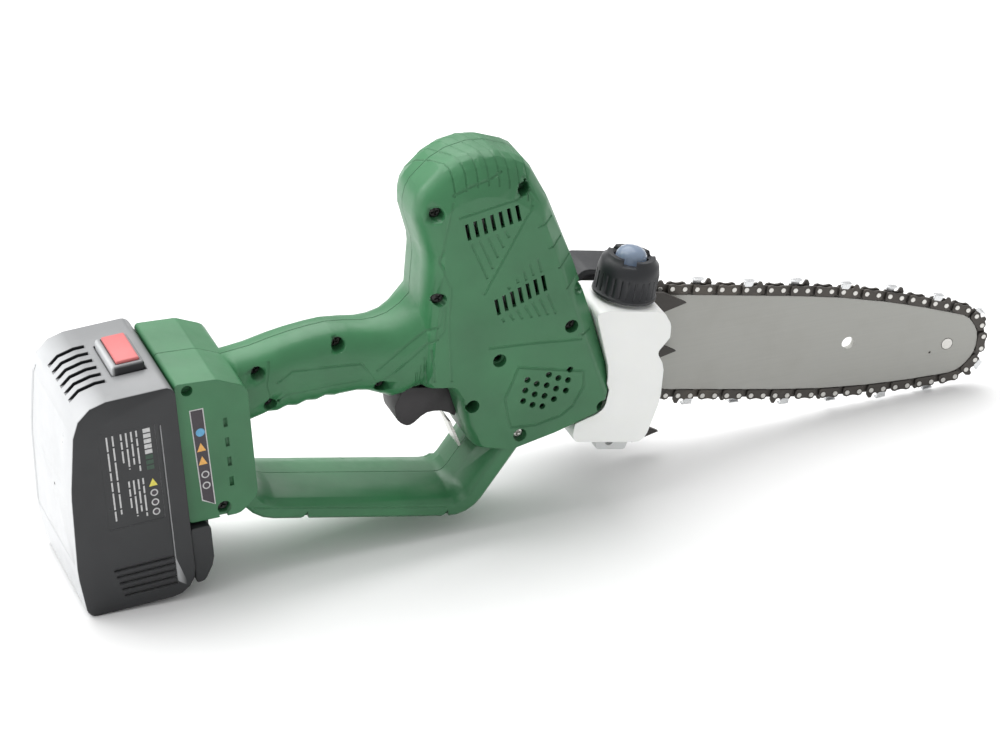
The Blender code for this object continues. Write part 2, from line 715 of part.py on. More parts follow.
def bar_outline():
    nose_r = CHAIN_PITCH / (2 * math.sin(math.pi / (2 * NOSE_TEETH))) - RIVET_OUT
    xs = [26, 34, 46, 60, 74, 110, 150, 175, 200, 222]
    top = [(x, bar_edge(x)) for x in xs]
    lean = math.radians(72)
    nose = []
    for i in range(13):
        angle = lean - 2 * lean * i / 12
        nose.append((NOSE_X + nose_r * math.cos(angle), nose_r * math.sin(angle)))
    bottom = [(x, -z) for x, z in reversed(top)]
    return top + nose + bottom


def chain_path():
    """The closed line of the chain's rivets: round the sprocket, along the rails and round the nose."""
    wheel_r = CHAIN_PITCH / (2 * math.sin(math.pi / (2 * SPROCKET_TEETH)))
    nose_r = CHAIN_PITCH / (2 * math.sin(math.pi / (2 * NOSE_TEETH)))
    leave = math.radians(101)
    tail = []
    for i in range(13):
        angle = -leave - (2 * math.pi - 2 * leave) * i / 12
        tail.append((wheel_r * math.cos(angle), wheel_r * math.sin(angle)))
    rails = [(x, bar_edge(x) + RIVET_OUT) for x in (34, 46, 60, 74, 100, 130, 150, 175, 200, 222)]
    lean = math.radians(75)
    nose = []
    for i in range(15):
        angle = lean - 2 * lean * i / 14
        nose.append((NOSE_X + nose_r * math.cos(angle), nose_r * math.sin(angle)))
    return tail + rails + nose + [(x, -z) for x, z in reversed(rails)]


def along(path, distance):
    """The point and the outward normal of a closed path, a distance along it (it runs clockwise)."""
    while True:
        for i in range(len(path)):
            a, b = Vector(path[i]), Vector(path[(i + 1) % len(path)])
            length = (b - a).length
            if distance <= length:
                way = (b - a) / length
                return a + way * distance, Vector((-way.y, way.x))
            distance -= length


def path_length(path):
    return sum((Vector(path[i]) - Vector(path[i - 1])).length for i in range(len(path)))


def build_chain():
    path = chain_path()
    pitch = path_length(path) / CHAIN_LINKS
    outer, inner = [], []
    for i in range(CHAIN_LINKS):
        cutter = i % 4 == 0
        for share, height in ((0.1, 2.7), (0.3, 5.6 if cutter else 3.0), (0.85, 5.0 if cutter else 2.7)):
            point, normal = along(path, (i + share) * pitch)
            outer.append(tuple(point + normal * height))
        point, normal = along(path, (i + 0.5) * pitch)
        inner.append(tuple(point - normal * 2.6))
    half = CHAIN_BODY_WIDTH / 2
    plate("saw_chain", [outer, inner], BAR_Y - half, BAR_Y + half, SAW, DARK_STEEL)


def build_bar():
    half = BAR_THICK / 2
    slot = rounded(((33, 3.6, 3.5), (60, 3.6, 3.5), (60, -3.6, 3.5), (33, -3.6, 3.5)), math.radians(45))
    hole = round_hole(183.5, 0, 3.5, 12)
    pin_hole = round_hole(40, 11.5, 2.4, 8)
    rivet_hole = round_hole(NOSE_X, 0, 3.3, 12)
    outlines = [bar_outline(), slot, hole, pin_hole, rivet_hole]
    bar = plate("guide_bar", outlines, BAR_Y - half, BAR_Y + half, SAW, BAR_STEEL)
    pocket = rod("nose_pocket", 15.6, (BAR_Y - 0.75, BAR_Y + 0.75), (NOSE_X, 0, 0), (0, 1, 0), SAW, None, 24)
    mouth = box("nose_mouth", (NOSE_X + 8, BAR_Y - 0.75, -14), (NOSE_X + 30, BAR_Y + 0.75, 14))
    cut(bar, pocket, mouth)
    tip, thin = (NOSE_X, 0, 0), (BAR_Y - 0.45, BAR_Y + 0.45)
    gear("nose_sprocket", NOSE_TEETH, 12.2, 15.2, thin, tip, (0, 1, 0), 0, 3.4, SAW, STEEL)
    shade(rod("nose_rivet", 3.0, (-1.7, 1.7), (NOSE_X, BAR_Y, 0), (0, 1, 0), SAW, BAR_STEEL, 12))


def round_hole(x, z, radius, count):
    spots = []
    for i in range(count):
        angle = -2 * math.pi * i / count
        spots.append((x + radius * math.cos(angle), z + radius * math.sin(angle)))
    return spots


def build_bar_mount():
    spikes = (24, -2, -24, -46)
    front = []
    for z in spikes:
        front += [(73, z + 5), (86, z), (73, z - 6)]
    outline = [(30, 22), (40, 29), *front, (44, -40), (30, -22)]
    holes = [round_hole(44, 0, 4, 12), round_hole(40, 11.5, 2.8, 8)]
    plate("bumper_spikes", [outline, *holes], 18.8, 20.8, SAW, DARK_STEEL)
    pad = rounded(((34, 15, 4), (68, 17, 5), (68, -17, 5), (34, -15, 4)))
    plate("guide_plate", [pad, *holes], 21.1, 24.1, SAW, STEEL)
    shade(rod("bar_stud", 3.0, (12.6, 49), (44, 0, 0), (0, 1, 0), SAW, STEEL, 12))
    nut_outlines = [round_hole(44, 0, 6.4, 6)[::-1], round_hole(44, 0, 3.3, 12)]
    nut = plate("bar_nut", nut_outlines, 43.8, 49.5, SAW, STEEL)
    soften(nut, 0.6, 1, 50)
    shade(rod("tensioner_pin", 2.0, (21.4, 28.6), (40, 0, 11.5), (0, 1, 0), SAW, STEEL, 10))
    screw = turned(
        "tensioner_screw", ((0, 72), (3.3, 72), (3.3, 69), (1.9, 69), (1.9, 36), (0, 36)),
        (0, 34.5, 11.5), (1, 0, 0), SAW, STEEL, 12,
    )
    shade(screw)


def build_cover():
    """The sprocket cover: a cup open towards the saw and at its front, where the bar leaves it."""
    outline = (
        (-26, 6, 12), (-20, 22, 14), (0, 27, 20), (22, 28.5, 4), (28, 40, 6), (60, 40, 6), (66, 36, 6),
        (66, -36, 8), (50, -42, 10), (8, -30, 20), (-20, -22, 14), (-26, -6, 12),
    )
    cover = plate("sprocket_cover", [rounded(outline)], 21.2, 43.5, SAW, BLACK)
    soften(cover, 3, 2)
    cut(
        cover,
        plate("cover_room", [rounded(inset(outline, 2.6))], 10, 31.4),
        box("bar_gate", (58, 10, -38), (80, 31.4, 37.4)),
        box("screw_room", (32, 30, 7.2), (80, 38.8, 15.8)),
        rod("cover_stud_hole", 3.4, (20, 60), (44, 0, 0), (0, 1, 0), SAW, None, 14),
    )
    shade(cover)


# Oil tank ----------------------------------------------------------------------------------------------


def build_tank():
    tank = plate("oil_tank", [rounded(TANK_OUTLINE)], TANK_Y0, TANK_Y1, SAW, WHITE)
    soften(tank, 5, 3)
    cut(tank, head_solid("tank_relief", -0.6))
    up = (0, 0, 1)
    join(tank, rod("neck", 11.5, (30, 50), (CAP_X, CAP_Y, 0), up, SAW, None, 20))
    room = plate("tank_room", [rounded(inset(TANK_OUTLINE, 1.8))], TANK_Y0 + 1.8, TANK_Y1 - 1.8)
    soften(room, 3.5, 1)
    cut(room, head_solid("room_relief", -2.4))
    cut(
        tank,
        room,
        rod("neck_bore", 9.6, (30, 60), (CAP_X, CAP_Y, 0), up, SAW, None, 20),
        rod("tank_outlet", 1.9, (5, 20), (45, 0, -12), (0, 1, 0), SAW, None, 8),
    )
    shade(tank)
    lug = rounded(((34.5, -30.9), (54, -30.9), (52.5, -39, 1.5), (37.5, -39, 1.5)))
    lug_hole = round_hole(43.5, -34.8, 2.2, 10)
    shade(plate("tank_bracket", [lug, lug_hole], -13, -7, SAW, ALUMINIUM))
    top = CAP_Z + CAP_H
    cap = turned(
        "tank_cap",
        (
            (9.2, top), (11.5, top), (12.4, top - 2.2), (13.8, top - 3.2), (CAP_R - 0.6, top - 8),
            (CAP_R - 0.6, CAP_Z + 1.4), (CAP_R, CAP_Z + 1.2), (CAP_R, CAP_Z), (11.9, CAP_Z),
            (11.9, top - 5), (9.2, top - 5), (9.2, top),
        ),
        (CAP_X, CAP_Y, 0), up, SAW, BLACK, 30,
    )
    notches = []
    for i in range(3):
        notch = box(f"cap_notch_{i}", (-7, -3, top - 2.4), (7, 3, top + 2))
        angle = math.radians(120 * i + CAP_NOTCH_TURN)
        notch.location.x = (CAP_X + CAP_NOTCH_OUT * math.cos(angle)) * MM
        notch.location.y = (CAP_Y + CAP_NOTCH_OUT * math.sin(angle)) * MM
        notch.rotation_euler = (0, 0, angle)
        notches.append(notch)
    cut(cap, *notches)
    shade(cap)
    bulb = turned(
        "pump_bulb",
        (
            (0, top + 4), (3.4, top + 3.6), (6.0, top + 2.2), (7.4, top), (7.6, top - 3),
            (8.9, top - 5.3), (8.9, top - 6.8), (0, top - 6.8),
        ),
        (CAP_X, CAP_Y, 0), up, SAW, BLUE_BULB, 20,
    )
    shade(bulb)


# Controls ----------------------------------------------------------------------------------------------


def build_controls():
    outline = rounded((
        (-69, -18, 4), (-66.5, -25.5, 5), (-60, -29, 5), (-52.5, -20.5, 8), (-43, -20, 8), (-37, -23.5, 1),
        (-39, -13, 6), (-44.5, -8, 4), (-66, -8, 3),
    ))
    trigger = plate("trigger", [outline], -9, 9, SAW, BLACK)
    soften(trigger, 2.2, 2)
    join(trigger, rod("trigger_stem", 3.2, (-16, -1), (-52, 0, 0), (0, 0, 1), SAW, None, 12))
    shade(trigger)
    switch = box("switch_body", (-75, -10, 0), (-38, 10, 20), SAW, BLACK)
    cut(switch, rod("switch_bore", 3.8, (-5, 17), (-52, 0, 0), (0, 0, 1), SAW, None, 14))
    shade(ring("trigger_spring", 1.4, 2.6, (-0.2, 10.4), (-52, 0, 0), (0, 0, 1), SAW, STEEL, 12))
    dome = ((0, 19.5), (3.2, 19.5), (3.9, 18.8), (3.9, 12.2), (0, 12.2))
    shade(turned("lock_off_button", dome, (-72, 0, 12), (0, 1, 0), SAW, BLACK, 14))
    strip = rounded(((-37.9, -27, 0.5), (-30, -40, 0.5), (-31.2, -40.6, 0.5), (-39.1, -27.6, 0.5)))
    plate("guard_strip", [strip], -6, 6, SAW, STEEL)
    box("control_board", (78.3, -25, 45), (79.9, 25, 92), BATTERY, BOARD)
    terminal = box("terminal_block", (62.6, -20, 55.4), (72, 20, 89.6), BATTERY, BLACK)
    soften(terminal, 0.8, 1)


# Battery -----------------------------------------------------------------------------------------------


def build_battery():
    outline = (
        (-1.5, 0, 5), (-BATTERY_CROWN - 1.8, 24, 40), (-BATTERY_CROWN, 66, 60), (4, BATTERY_L, 17),
        (BATTERY_T, BATTERY_L, 5), (BATTERY_T, 0, 12),
    )
    shell = plate("battery_shell", [rounded(outline)], -BATTERY_HALF, BATTERY_HALF, BATTERY, BLACK)
    soften(shell, 6, 3)
    room = rounded(inset(outline, BATTERY_WALL))
    half = BATTERY_HALF - BATTERY_WALL
    cut(
        shell,
        soften(plate("battery_room", [room], -half, half, BATTERY), 4, 1),
        box("battery_mouth", (40, -half, 7), (60, half, 98), BATTERY),
        box("latch_well", (27.5, -15.5, 95), (44, 15.5, 120), BATTERY),
    )
    for i in range(6):
        y = -17.5 + 7 * i
        cut(shell, box(f"air_slot_{i}", (4, y - 1.4, 103), (24, y + 1.4, 115), BATTERY))
    shade(shell)

    neck = rounded(((50, 9, 1), (50, 96, 1), (56.3, 96, 2), (56.3, 9, 3)))
    rail = plate("battery_rail", [neck], -RAIL_NECK_HALF, RAIL_NECK_HALF, BATTERY, BLACK)
    head = rounded(((56, 8, 1), (56, 96, 1), (RAIL_T, 96, 3), (RAIL_T, 8, 5)))
    lid = rounded(((46.5, 9, 1), (46.5, 96, 1), (50.9, 96, 1), (50.9, 9, 1)))
    foot = rounded(((51, 3.5, 1), (51, 32.2, 1), (FOOT_T, 32.2, 2), (FOOT_T, 13, 9), (55, 3.5, 6)))
    join(
        rail,
        plate("rail_head", [head], -RAIL_HEAD_HALF, RAIL_HEAD_HALF, BATTERY),
        plate("rail_lid", [lid], -33, 33, BATTERY),
        soften(plate("rail_foot", [foot], -FOOT_HALF, FOOT_HALF, BATTERY), 2, 2),
    )
    for y in (-15, 15):
        cut(rail, box(f"contact_slot_{y}", (55, y - 1.5, 50), (70, y + 1.5, 92), BATTERY))
    shade(rail)

    for row, t in enumerate((13.2, 32.4)):
        for i in range(5):
            name = f"cell_{row * 5 + i + 1}"
            half = CELL_LEN / 2
            spot = (t, 0, CELL_FIRST + CELL_PITCH * i)
            shade(rod(name, CELL_R, (-half, half), spot, (0, 1, 0), BATTERY, CELL_WRAP, 14))

    latch = box("latch_button", (28, -15, 101), (43.5, 15, 113.2), BATTERY, BLACK)
    soften(latch, 1.5, 2)
    cut(latch, box("latch_recess", (30.5, -13, 112.2), (42, 13, 120), BATTERY))
    insert = box("latch_insert", (30.8, -12.7, 112.5), (41.7, 12.7, 114.6), BATTERY, PINK)
    soften(insert, 0.7, 2)


build_housing()
build_screws()
build_motor()
build_drive()
build_bar()
build_chain()
build_bar_mount()
build_cover()
build_tank()
build_controls()
build_battery()
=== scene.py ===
"""The looks of a small cordless chainsaw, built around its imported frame."""

import json
import math

import bmesh
import bpy
from mathutils import Matrix, Vector
from mathutils.bvhtree import BVHTree


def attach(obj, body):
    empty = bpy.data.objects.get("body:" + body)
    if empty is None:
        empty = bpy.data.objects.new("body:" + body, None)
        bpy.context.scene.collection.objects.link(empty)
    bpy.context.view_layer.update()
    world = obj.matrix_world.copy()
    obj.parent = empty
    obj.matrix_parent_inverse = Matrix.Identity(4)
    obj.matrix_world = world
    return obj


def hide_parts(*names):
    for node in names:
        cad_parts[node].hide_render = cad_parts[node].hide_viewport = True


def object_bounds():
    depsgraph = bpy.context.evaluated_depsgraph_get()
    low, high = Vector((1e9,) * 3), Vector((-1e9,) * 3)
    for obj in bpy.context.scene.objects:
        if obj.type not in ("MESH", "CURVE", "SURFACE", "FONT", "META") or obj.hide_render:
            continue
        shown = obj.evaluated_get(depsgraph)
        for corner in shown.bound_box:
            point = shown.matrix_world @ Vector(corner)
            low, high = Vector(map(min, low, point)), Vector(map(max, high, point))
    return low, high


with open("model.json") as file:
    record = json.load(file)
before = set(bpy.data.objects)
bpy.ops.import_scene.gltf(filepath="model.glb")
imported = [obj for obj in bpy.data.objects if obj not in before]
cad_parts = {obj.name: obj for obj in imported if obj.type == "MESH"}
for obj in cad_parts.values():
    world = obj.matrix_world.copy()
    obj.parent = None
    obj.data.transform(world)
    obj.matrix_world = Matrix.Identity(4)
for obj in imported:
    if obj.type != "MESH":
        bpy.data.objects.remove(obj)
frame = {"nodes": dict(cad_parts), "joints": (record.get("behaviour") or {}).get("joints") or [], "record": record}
cad_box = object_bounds()
MM = 0.001

# The saw's own frame: x along the bar, y to the operator's left, z square to the bar,
# in mm from the output shaft
JOINTS = {joint["name"]: joint for joint in frame["joints"]}
AHEAD = Vector(JOINTS["tension_turn"]["axis"]).normalized()
LEFT = Vector((0, 1, 0))
UP = AHEAD.cross(LEFT).normalized()
SHAFT = Vector(JOINTS["drive_spin"]["pos_m"])
SAW = Matrix((AHEAD, LEFT, UP)).transposed().to_4x4()
SAW.translation = SHAFT

# The battery's frame: t forward from its rear face, y to the left, l up its length
BATTERY_LEAN = math.radians(14.7)
BATTERY_CORNER = Vector((-210.6, 0, -111.9))
BATTERY_T = Vector((math.cos(BATTERY_LEAN), 0, math.sin(BATTERY_LEAN)))
BATTERY_L = Vector((-math.sin(BATTERY_LEAN), 0, math.cos(BATTERY_LEAN)))
BATTERY_HALF = 36.0
LABEL_FACE = 35.85
BASE_HALF = 32.0

BAR_Y, BAR_HALF = 26.0, 25.6
# The rails run level between these two x, narrow to the nose and round off to the tail
LEVEL_FROM, LEVEL_TO = 74, 150
TAIL_LENGTH, TAIL_DROP = 48, 9.5
CHAIN_PITCH = 6.35
RIVET_OUT = 3.3
NOSE_X = 240.2
NOSE_TEETH, SPROCKET_TEETH = 10, 7
CHAIN_LINKS, CHAIN_START = 88, 0.25
CAP_X, CAP_Y, CAP_Z, CAP_R, CAP_CREASE = 38.5, -5.0, 40.5, 15.5, 35
# The grooves round the cap: their number, radius, how far in they sit and the heights they span
CAP_GROOVES, CAP_GROOVE_R, CAP_GROOVE_IN, CAP_GROOVE_SPAN = 26, 0.75, 0.35, (2.2, 11.4)

# Lines moulded into the shells, as x and z of their corners
HEAD_LINES = (
    ((-62.4, 85.7), (-29.6, 98)), ((-66.3, 93.2), (-67.2, 63), (-59, 50), (-57.1, 34), (-50, 3)),
    ((-42.4, 47.7), (-29.2, 86.3), (-26.4, 92.7)), ((-34.8, 20.2), (-15.1, 22.9), (11.9, 25.6)),
    ((-32.5, 105.7), (-26.9, 94.9), (-27.7, 90.3)), ((17.3, 28.9), (8.9, 27.6)),
    ((-66.8, 95.9), (-57.9, 101.1), (-49.3, 104.7), (-43.6, 107.9)),
)
GRILLE_EDGE = (
    (-17.7, 10.5), (-19.3, 2.7), (-21.5, -5.8), (-18.5, -14.3), (-15.4, -20.9), (-3, -19.6), (8.6, -14.9),
    (14, -9.6), (17.7, 0.9), (16, 8.8),
)
SLOT_ROWS = (((-56.5, 79), (-33.5, 89)), ((-34.5, 41.5), (-13.5, 54)))
SLOTS_PER_ROW, SLOT_HALF = 7, 4.2
SLOT_LEAN = (0.375 * SLOT_HALF, -0.927 * SLOT_HALF)
UPPER_TAILS = ((-42.4, 55.9), (-40.7, 61), (-39.3, 66.7), (-37.4, 71.8), (-35.6, 76.8))
LOWER_HEADS = ((-31.4, 51.9), (-27.7, 56.1), (-25.1, 60.1), (-22.7, 63.7), (-19.2, 66.4))
LOWER_TAILS = (
    (-29.7, 34), (-25.1, 35.1), (-20.8, 35.7), (-16.2, 36.4), (-12.3, 37.2), (-8.3, 37.8), (-4.4, 38.4),
)
CHAMFER_TICKS = ((-19.7, 83.4), (-12.4, 72.8), (-5.4, 63.1), (0.8, 52.8))
HANDLE_LINES = (
    ((-136.9, 7), (-137.2, -4.2), (-132.3, -14.9), (-126.6, -9.1), (-90.3, -1.4)),
    ((-132.1, -3), (-125.6, 3.5), (-92.1, 7.3), (-83, -3)),
    ((-84.6, 4.1), (-63.4, 29.9), (-61.1, 32.2), (-61.9, 41.7)),
    ((-85.8, -3), (-78.3, 1), (-58.7, 28.7), (-60.4, 41.9)),
)
HANDLE_RIBS = (
    ((-66.3, 5.5), (-63.2, -6.2)), ((-64.8, 9.3), (-62.5, -3.1)), ((-64.2, 13.7), (-61.1, 0.3)),
    ((-62.7, 18.5), (-58.5, 2.7)),
)
BLIND_POCKETS, POCKET_R = ((-28, 14), (-32, 100), (8, 49), (30, -10)), 2.5
# Holes in each column of the grille, and how high the column's middle stands
GRILLE_COLUMNS = ((3, 0), (3, -2), (4, 0), (3, 1), (3, 5.5))
GRILLE_STEP_X, GRILLE_STEP_Z, GRILLE_SHIFT, GRILLE_R = 5.2, 5.5, -1.5, 1.55
SHELL_CREASE = 40
# Fine lines over the crown of the head: their number, first x, step and slant; then the cutting rod's
# radius, lift and point spacing, and the height that rays start from
CROWN_LINES, CROWN_X, CROWN_STEP, CROWN_SLANT = 8, -73.0, 5.2, 0.32
CROWN_R, CROWN_LIFT, CROWN_SPACING, CROWN_ABOVE = 0.5, 0.2, 1.5, 150
# Grooves, each with the cutting rod's radius and how far its middle stands off the surface
WIDE_GROOVE, GRILLE_GROOVE, TAIL_GROOVE = (0.85, 0.4), (0.85, 0.35), (0.8, 0.3)
RIB_GROOVE, FINE_GROOVE = (0.75, 0.25), (0.6, 0.25)
PACK_RIB_GROOVE, PACK_SEAM_GROOVE = (0.9, -0.7), (0.5, -0.1)
GUARD_LINES = (((-137, -62.8), (-40, -63.6)),)
GUARD_NOTCHES = ((-109.8, -67.4), (-39.2, -67.4))
# Round pockets in the base, each with its t, its l, the y it reaches and its radius; then the row of slots
BASE_POCKETS = ((57, 102.6, -27.5, 2.7), (67.9, 34.6, -30, 2.2))
BASE_SLOTS, BASE_SLOT_T, BASE_SLOT_HALF = (82, 71.7, 61.4, 50.9), (72.2, 74.2), 2.4
# How deep the base slots, the grille holes and the blind pockets go, as the y they reach
BASE_SLOT_FLOOR, GRILLE_FLOOR, POCKET_FLOOR = -30.4, -20, -8
# Where rays and cutters start, clear of either side
CLEAR, NEAR_CLEAR = 60, -40
GROOVE_STEP = 2.0


def saw_point(x, y, z):
    """A point given in mm in the saw's frame, in metres in the row frame."""
    return SAW @ (Vector((x, y, z)) * MM)


def battery_point(t, y, l):
    place = BATTERY_CORNER + BATTERY_T * t + BATTERY_L * l
    return saw_point(place.x, y, place.z)


# ---------------------------------------------------------------- materials

def shader_of(mat):
    return mat.node_tree.nodes["Principled BSDF"]


def new_material(name, colour, roughness, metallic=0.0):
    mat = bpy.data.materials.new(name)
    mat.use_nodes = True
    shader = shader_of(mat)
    shader.inputs["Base Color"].default_value = (*colour, 1)
    shader.inputs["Roughness"].default_value = roughness
    shader.inputs["Metallic"].default_value = metallic
    return mat, mat.node_tree, shader


def add(tree, kind, **inputs):
    node = tree.nodes.new("ShaderNode" + kind)
    for name, value in inputs.items():
        node.inputs[name.replace("_", " ")].default_value = value
    return node


def noise(tree, where, scale, detail=3.0, roughness=0.55):
    node = add(tree, "TexNoise", Scale=scale, Detail=detail, Roughness=roughness)
    tree.links.new(where, node.inputs["Vector"])
    return node.outputs["Fac"]


def remap(tree, value, low, high, to_low, to_high):
    node = add(tree, "MapRange")
    for name, number in zip(("From Min", "From Max", "To Min", "To Max"), (low, high, to_low, to_high)):
        node.inputs[name].default_value = number
    tree.links.new(value, node.inputs["Value"])
    return node.outputs["Result"]


def mixed(tree, share, first, second):
    """Two colours mixed by a share from 0 to 1; each is a tuple or a socket."""
    node = tree.nodes.new("ShaderNodeMix")
    node.data_type = "RGBA"
    tree.links.new(share, node.inputs["Factor"])
    for value, socket in ((first, node.inputs[6]), (second, node.inputs[7])):
        if isinstance(value, tuple):
            socket.default_value = (*value, 1)
        else:
            tree.links.new(value, socket)
    return node.outputs[2]


def combined(tree, operation, first, second):
    node = tree.nodes.new("ShaderNodeMath")
    node.operation = operation
    node.use_clamp = True
    for value, socket in ((first, node.inputs[0]), (second, node.inputs[1])):
        if isinstance(value, (int, float)):
            socket.default_value = value
        else:
            tree.links.new(value, socket)
    return node.outputs[0]


def rounded_normal(tree, radius):
    """The surface's direction with its edges rounded off within a radius."""
    bevel = add(tree, "Bevel", Radius=radius)
    bevel.samples = 4
    return bevel.outputs["Normal"]


def edge_wear(tree, rounded):
    """How far the surface is from its rounded direction: near 0 on faces and higher along edges."""
    here = tree.nodes.new("ShaderNodeNewGeometry")
    dot = tree.nodes.new("ShaderNodeVectorMath")
    dot.operation = "DOT_PRODUCT"
    tree.links.new(rounded, dot.inputs[0])
    tree.links.new(here.outputs["Normal"], dot.inputs[1])
    return remap(tree, dot.outputs["Value"], 0.99, 0.75, 0, 1)


def moulded(name, colour, worn, roughness=0.4, grain=0.06, round_edge=0.0006, mottle=0.14):
    """Injection-moulded plastic: fine grain, faint cloudiness, handling marks and paler edges."""
    mat, tree, shader = new_material(name, colour, roughness)
    where = tree.nodes.new("ShaderNodeTexCoord").outputs["Object"]
    cloud = noise(tree, where, 22.0, 4)
    darker = tuple(c * (1 - mottle) for c in colour)
    lighter = tuple(min(1, c * (1 + mottle)) for c in colour)
    base = mixed(tree, remap(tree, cloud, 0.35, 0.65, 0, 1), darker, lighter)
    normal = rounded_normal(tree, round_edge)
    wear = edge_wear(tree, normal)
    scuffs = remap(tree, noise(tree, where, 160.0, 5, 0.7), 0.5, 0.72, 0, 1)
    rubbed = combined(tree, "MULTIPLY", wear, combined(tree, "ADD", scuffs, 0.35))
    finish = mixed(tree, combined(tree, "MULTIPLY", rubbed, 0.5), base, worn)
    tree.links.new(finish, shader.inputs["Base Color"])
    rough = remap(tree, noise(tree, where, 65.0, 5, 0.65), 0.3, 0.7, roughness - 0.07, roughness + 0.1)
    tree.links.new(rough, shader.inputs["Roughness"])
    bump = add(tree, "Bump", Strength=grain, Distance=0.0003)
    tree.links.new(noise(tree, where, 2600.0, 2), bump.inputs["Height"])
    tree.links.new(normal, bump.inputs["Normal"])
    tree.links.new(bump.outputs["Normal"], shader.inputs["Normal"])
    return mat


BRUSH_STRETCH = (6.0, 300.0, 300.0)
OILY = (0.2, 0.17, 0.13)


def steel(name, colour, roughness, metallic, stained=0.3):
    """Ground or rolled steel: brushed along x, with oily stains."""
    mat, tree, shader = new_material(name, colour, roughness, metallic)
    where = tree.nodes.new("ShaderNodeTexCoord").outputs["Object"]
    turn = add(tree, "Mapping")
    turn.inputs["Rotation"].default_value = (0, -AHEAD.angle(Vector((1, 0, 0))), 0)
    turn.inputs["Scale"].default_value = BRUSH_STRETCH
    tree.links.new(where, turn.inputs["Vector"])
    brushed = noise(tree, turn.outputs["Vector"], 4.0, 4, 0.7)
    stains = remap(tree, noise(tree, where, 38.0, 5, 0.65), 0.5, 0.8, 0, stained)
    light = tuple(min(1, c * 1.12) for c in colour)
    dark = tuple(c * 0.88 for c in colour)
    base = mixed(tree, brushed, dark, light)
    tree.links.new(mixed(tree, stains, base, OILY), shader.inputs["Base Color"])
    rough = remap(tree, brushed, 0.3, 0.7, roughness - 0.06, roughness + 0.1)
    tree.links.new(rough, shader.inputs["Roughness"])
    bump = add(tree, "Bump", Strength=0.05, Distance=0.0002)
    tree.links.new(brushed, bump.inputs["Height"])
    tree.links.new(rounded_normal(tree, 0.0003), bump.inputs["Normal"])
    tree.links.new(bump.outputs["Normal"], shader.inputs["Normal"])
    return mat


GREEN = moulded("green_moulded", (0.038, 0.165, 0.068), (0.2, 0.42, 0.26), 0.36)
BLACK = moulded("black_moulded", (0.014, 0.015, 0.018), (0.07, 0.07, 0.08), 0.42, 0.12)
CHARCOAL = moulded("charcoal_moulded", (0.018, 0.019, 0.021), (0.05, 0.05, 0.055), 0.42, 0.12)
RED = moulded("red_moulded", (0.60, 0.15, 0.15), (0.75, 0.4, 0.4), 0.42, 0.05, mottle=0.05)
TRIGGER = moulded("trigger_moulded", (0.030, 0.026, 0.029), (0.1, 0.1, 0.1), 0.5, 0.1)
CELL = moulded("cell_wrap", (0.04, 0.2, 0.4), (0.2, 0.4, 0.6), 0.35)
BOARD = moulded("board_lacquer", (0.02, 0.12, 0.07), (0.1, 0.25, 0.15), 0.35)
TANK = moulded("white_blown", (0.90, 0.91, 0.89), (0.94, 0.94, 0.94), 0.34, 0.03, mottle=0.02)
shader_of(TANK).inputs["Subsurface Weight"].default_value = 0.25
shader_of(TANK).inputs["Subsurface Radius"].default_value = (0.004, 0.004, 0.0035)
BULB = moulded("clear_bulb", (0.35, 0.44, 0.58), (0.6, 0.7, 0.8), 0.12, 0.0, mottle=0.04)
shader_of(BULB).inputs["Transmission Weight"].default_value = 0.45
shader_of(BULB).inputs["IOR"].default_value = 1.41
BAR_STEEL = steel("bar_steel", (0.40, 0.40, 0.375), 0.52, 0.35, stained=0.12)
DARK_STEEL = steel("dark_steel", (0.075, 0.068, 0.062), 0.45, 0.55, stained=0.3)
SPIKE_STEEL = steel("spike_steel", (0.055, 0.05, 0.046), 0.6, 0.2, stained=0.2)
BRIGHT = steel("bright_steel", (0.66, 0.65, 0.62), 0.3, 0.85, stained=0.15)
CHROME = steel("cutter_chrome", (0.74, 0.75, 0.76), 0.25, 0.8, stained=0.05)
CAST = steel("cast_metal", (0.5, 0.5, 0.5), 0.55, 0.9)
ZINC = steel("zinc_screw", (0.5, 0.45, 0.38), 0.35, 0.9)
POCKET_SCREW = steel("blackened_screw", (0.03, 0.03, 0.03), 0.5, 0.3)
LUG = moulded("pale_lug", (0.62, 0.63, 0.63), (0.8, 0.8, 0.8), 0.45, mottle=0.03)


def flat_finish(name, colour, roughness=0.45):
    """A printed film: an even colour broken by a faint speckle."""
    mat, tree, shader = new_material(name, colour, roughness)
    where = tree.nodes.new("ShaderNodeTexCoord").outputs["Object"]
    speckle = remap(tree, noise(tree, where, 900.0, 3), 0.4, 0.6, 0, 1)
    darker = tuple(c * 0.93 for c in colour)
    lighter = tuple(min(1, c * 1.07) for c in colour)
    base = mixed(tree, speckle, darker, lighter)
    tree.links.new(base, shader.inputs["Base Color"])
    return mat


def pack_plastic_with_painted_reflection():
    """The pack's plastic: charcoal, with a painted reflection in silver over its rear and top faces."""
    mat = moulded("pack_moulded_painted_reflection", (0.016, 0.017, 0.019), (0.035, 0.035, 0.038), 0.34, 0.1, 0.0012)
    tree, shader = mat.node_tree, shader_of(mat)
    dark = shader.inputs["Base Color"].links[0].from_socket
    where = tree.nodes.new("ShaderNodeTexCoord").outputs["Object"]
    parts = tree.nodes.new("ShaderNodeSeparateXYZ")
    tree.links.new(tree.nodes.new("ShaderNodeNewGeometry").outputs["Normal"], parts.inputs["Vector"])
    # Painted reflection: the more a face turns rearward, and to a lesser share upward, the more it is painted
    # silver
    rear = remap(tree, parts.outputs["X"], -0.15, -0.9, 0, 1)
    above = remap(tree, parts.outputs["Z"], 0.4, 0.98, 0, 0.4)
    share = combined(tree, "ADD", rear, above)
    cloud = noise(tree, where, 30.0, 4)
    pale = mixed(tree, cloud, (0.50, 0.51, 0.52), (0.62, 0.63, 0.64))
    tree.links.new(mixed(tree, share, dark, pale), shader.inputs["Base Color"])
    return mat
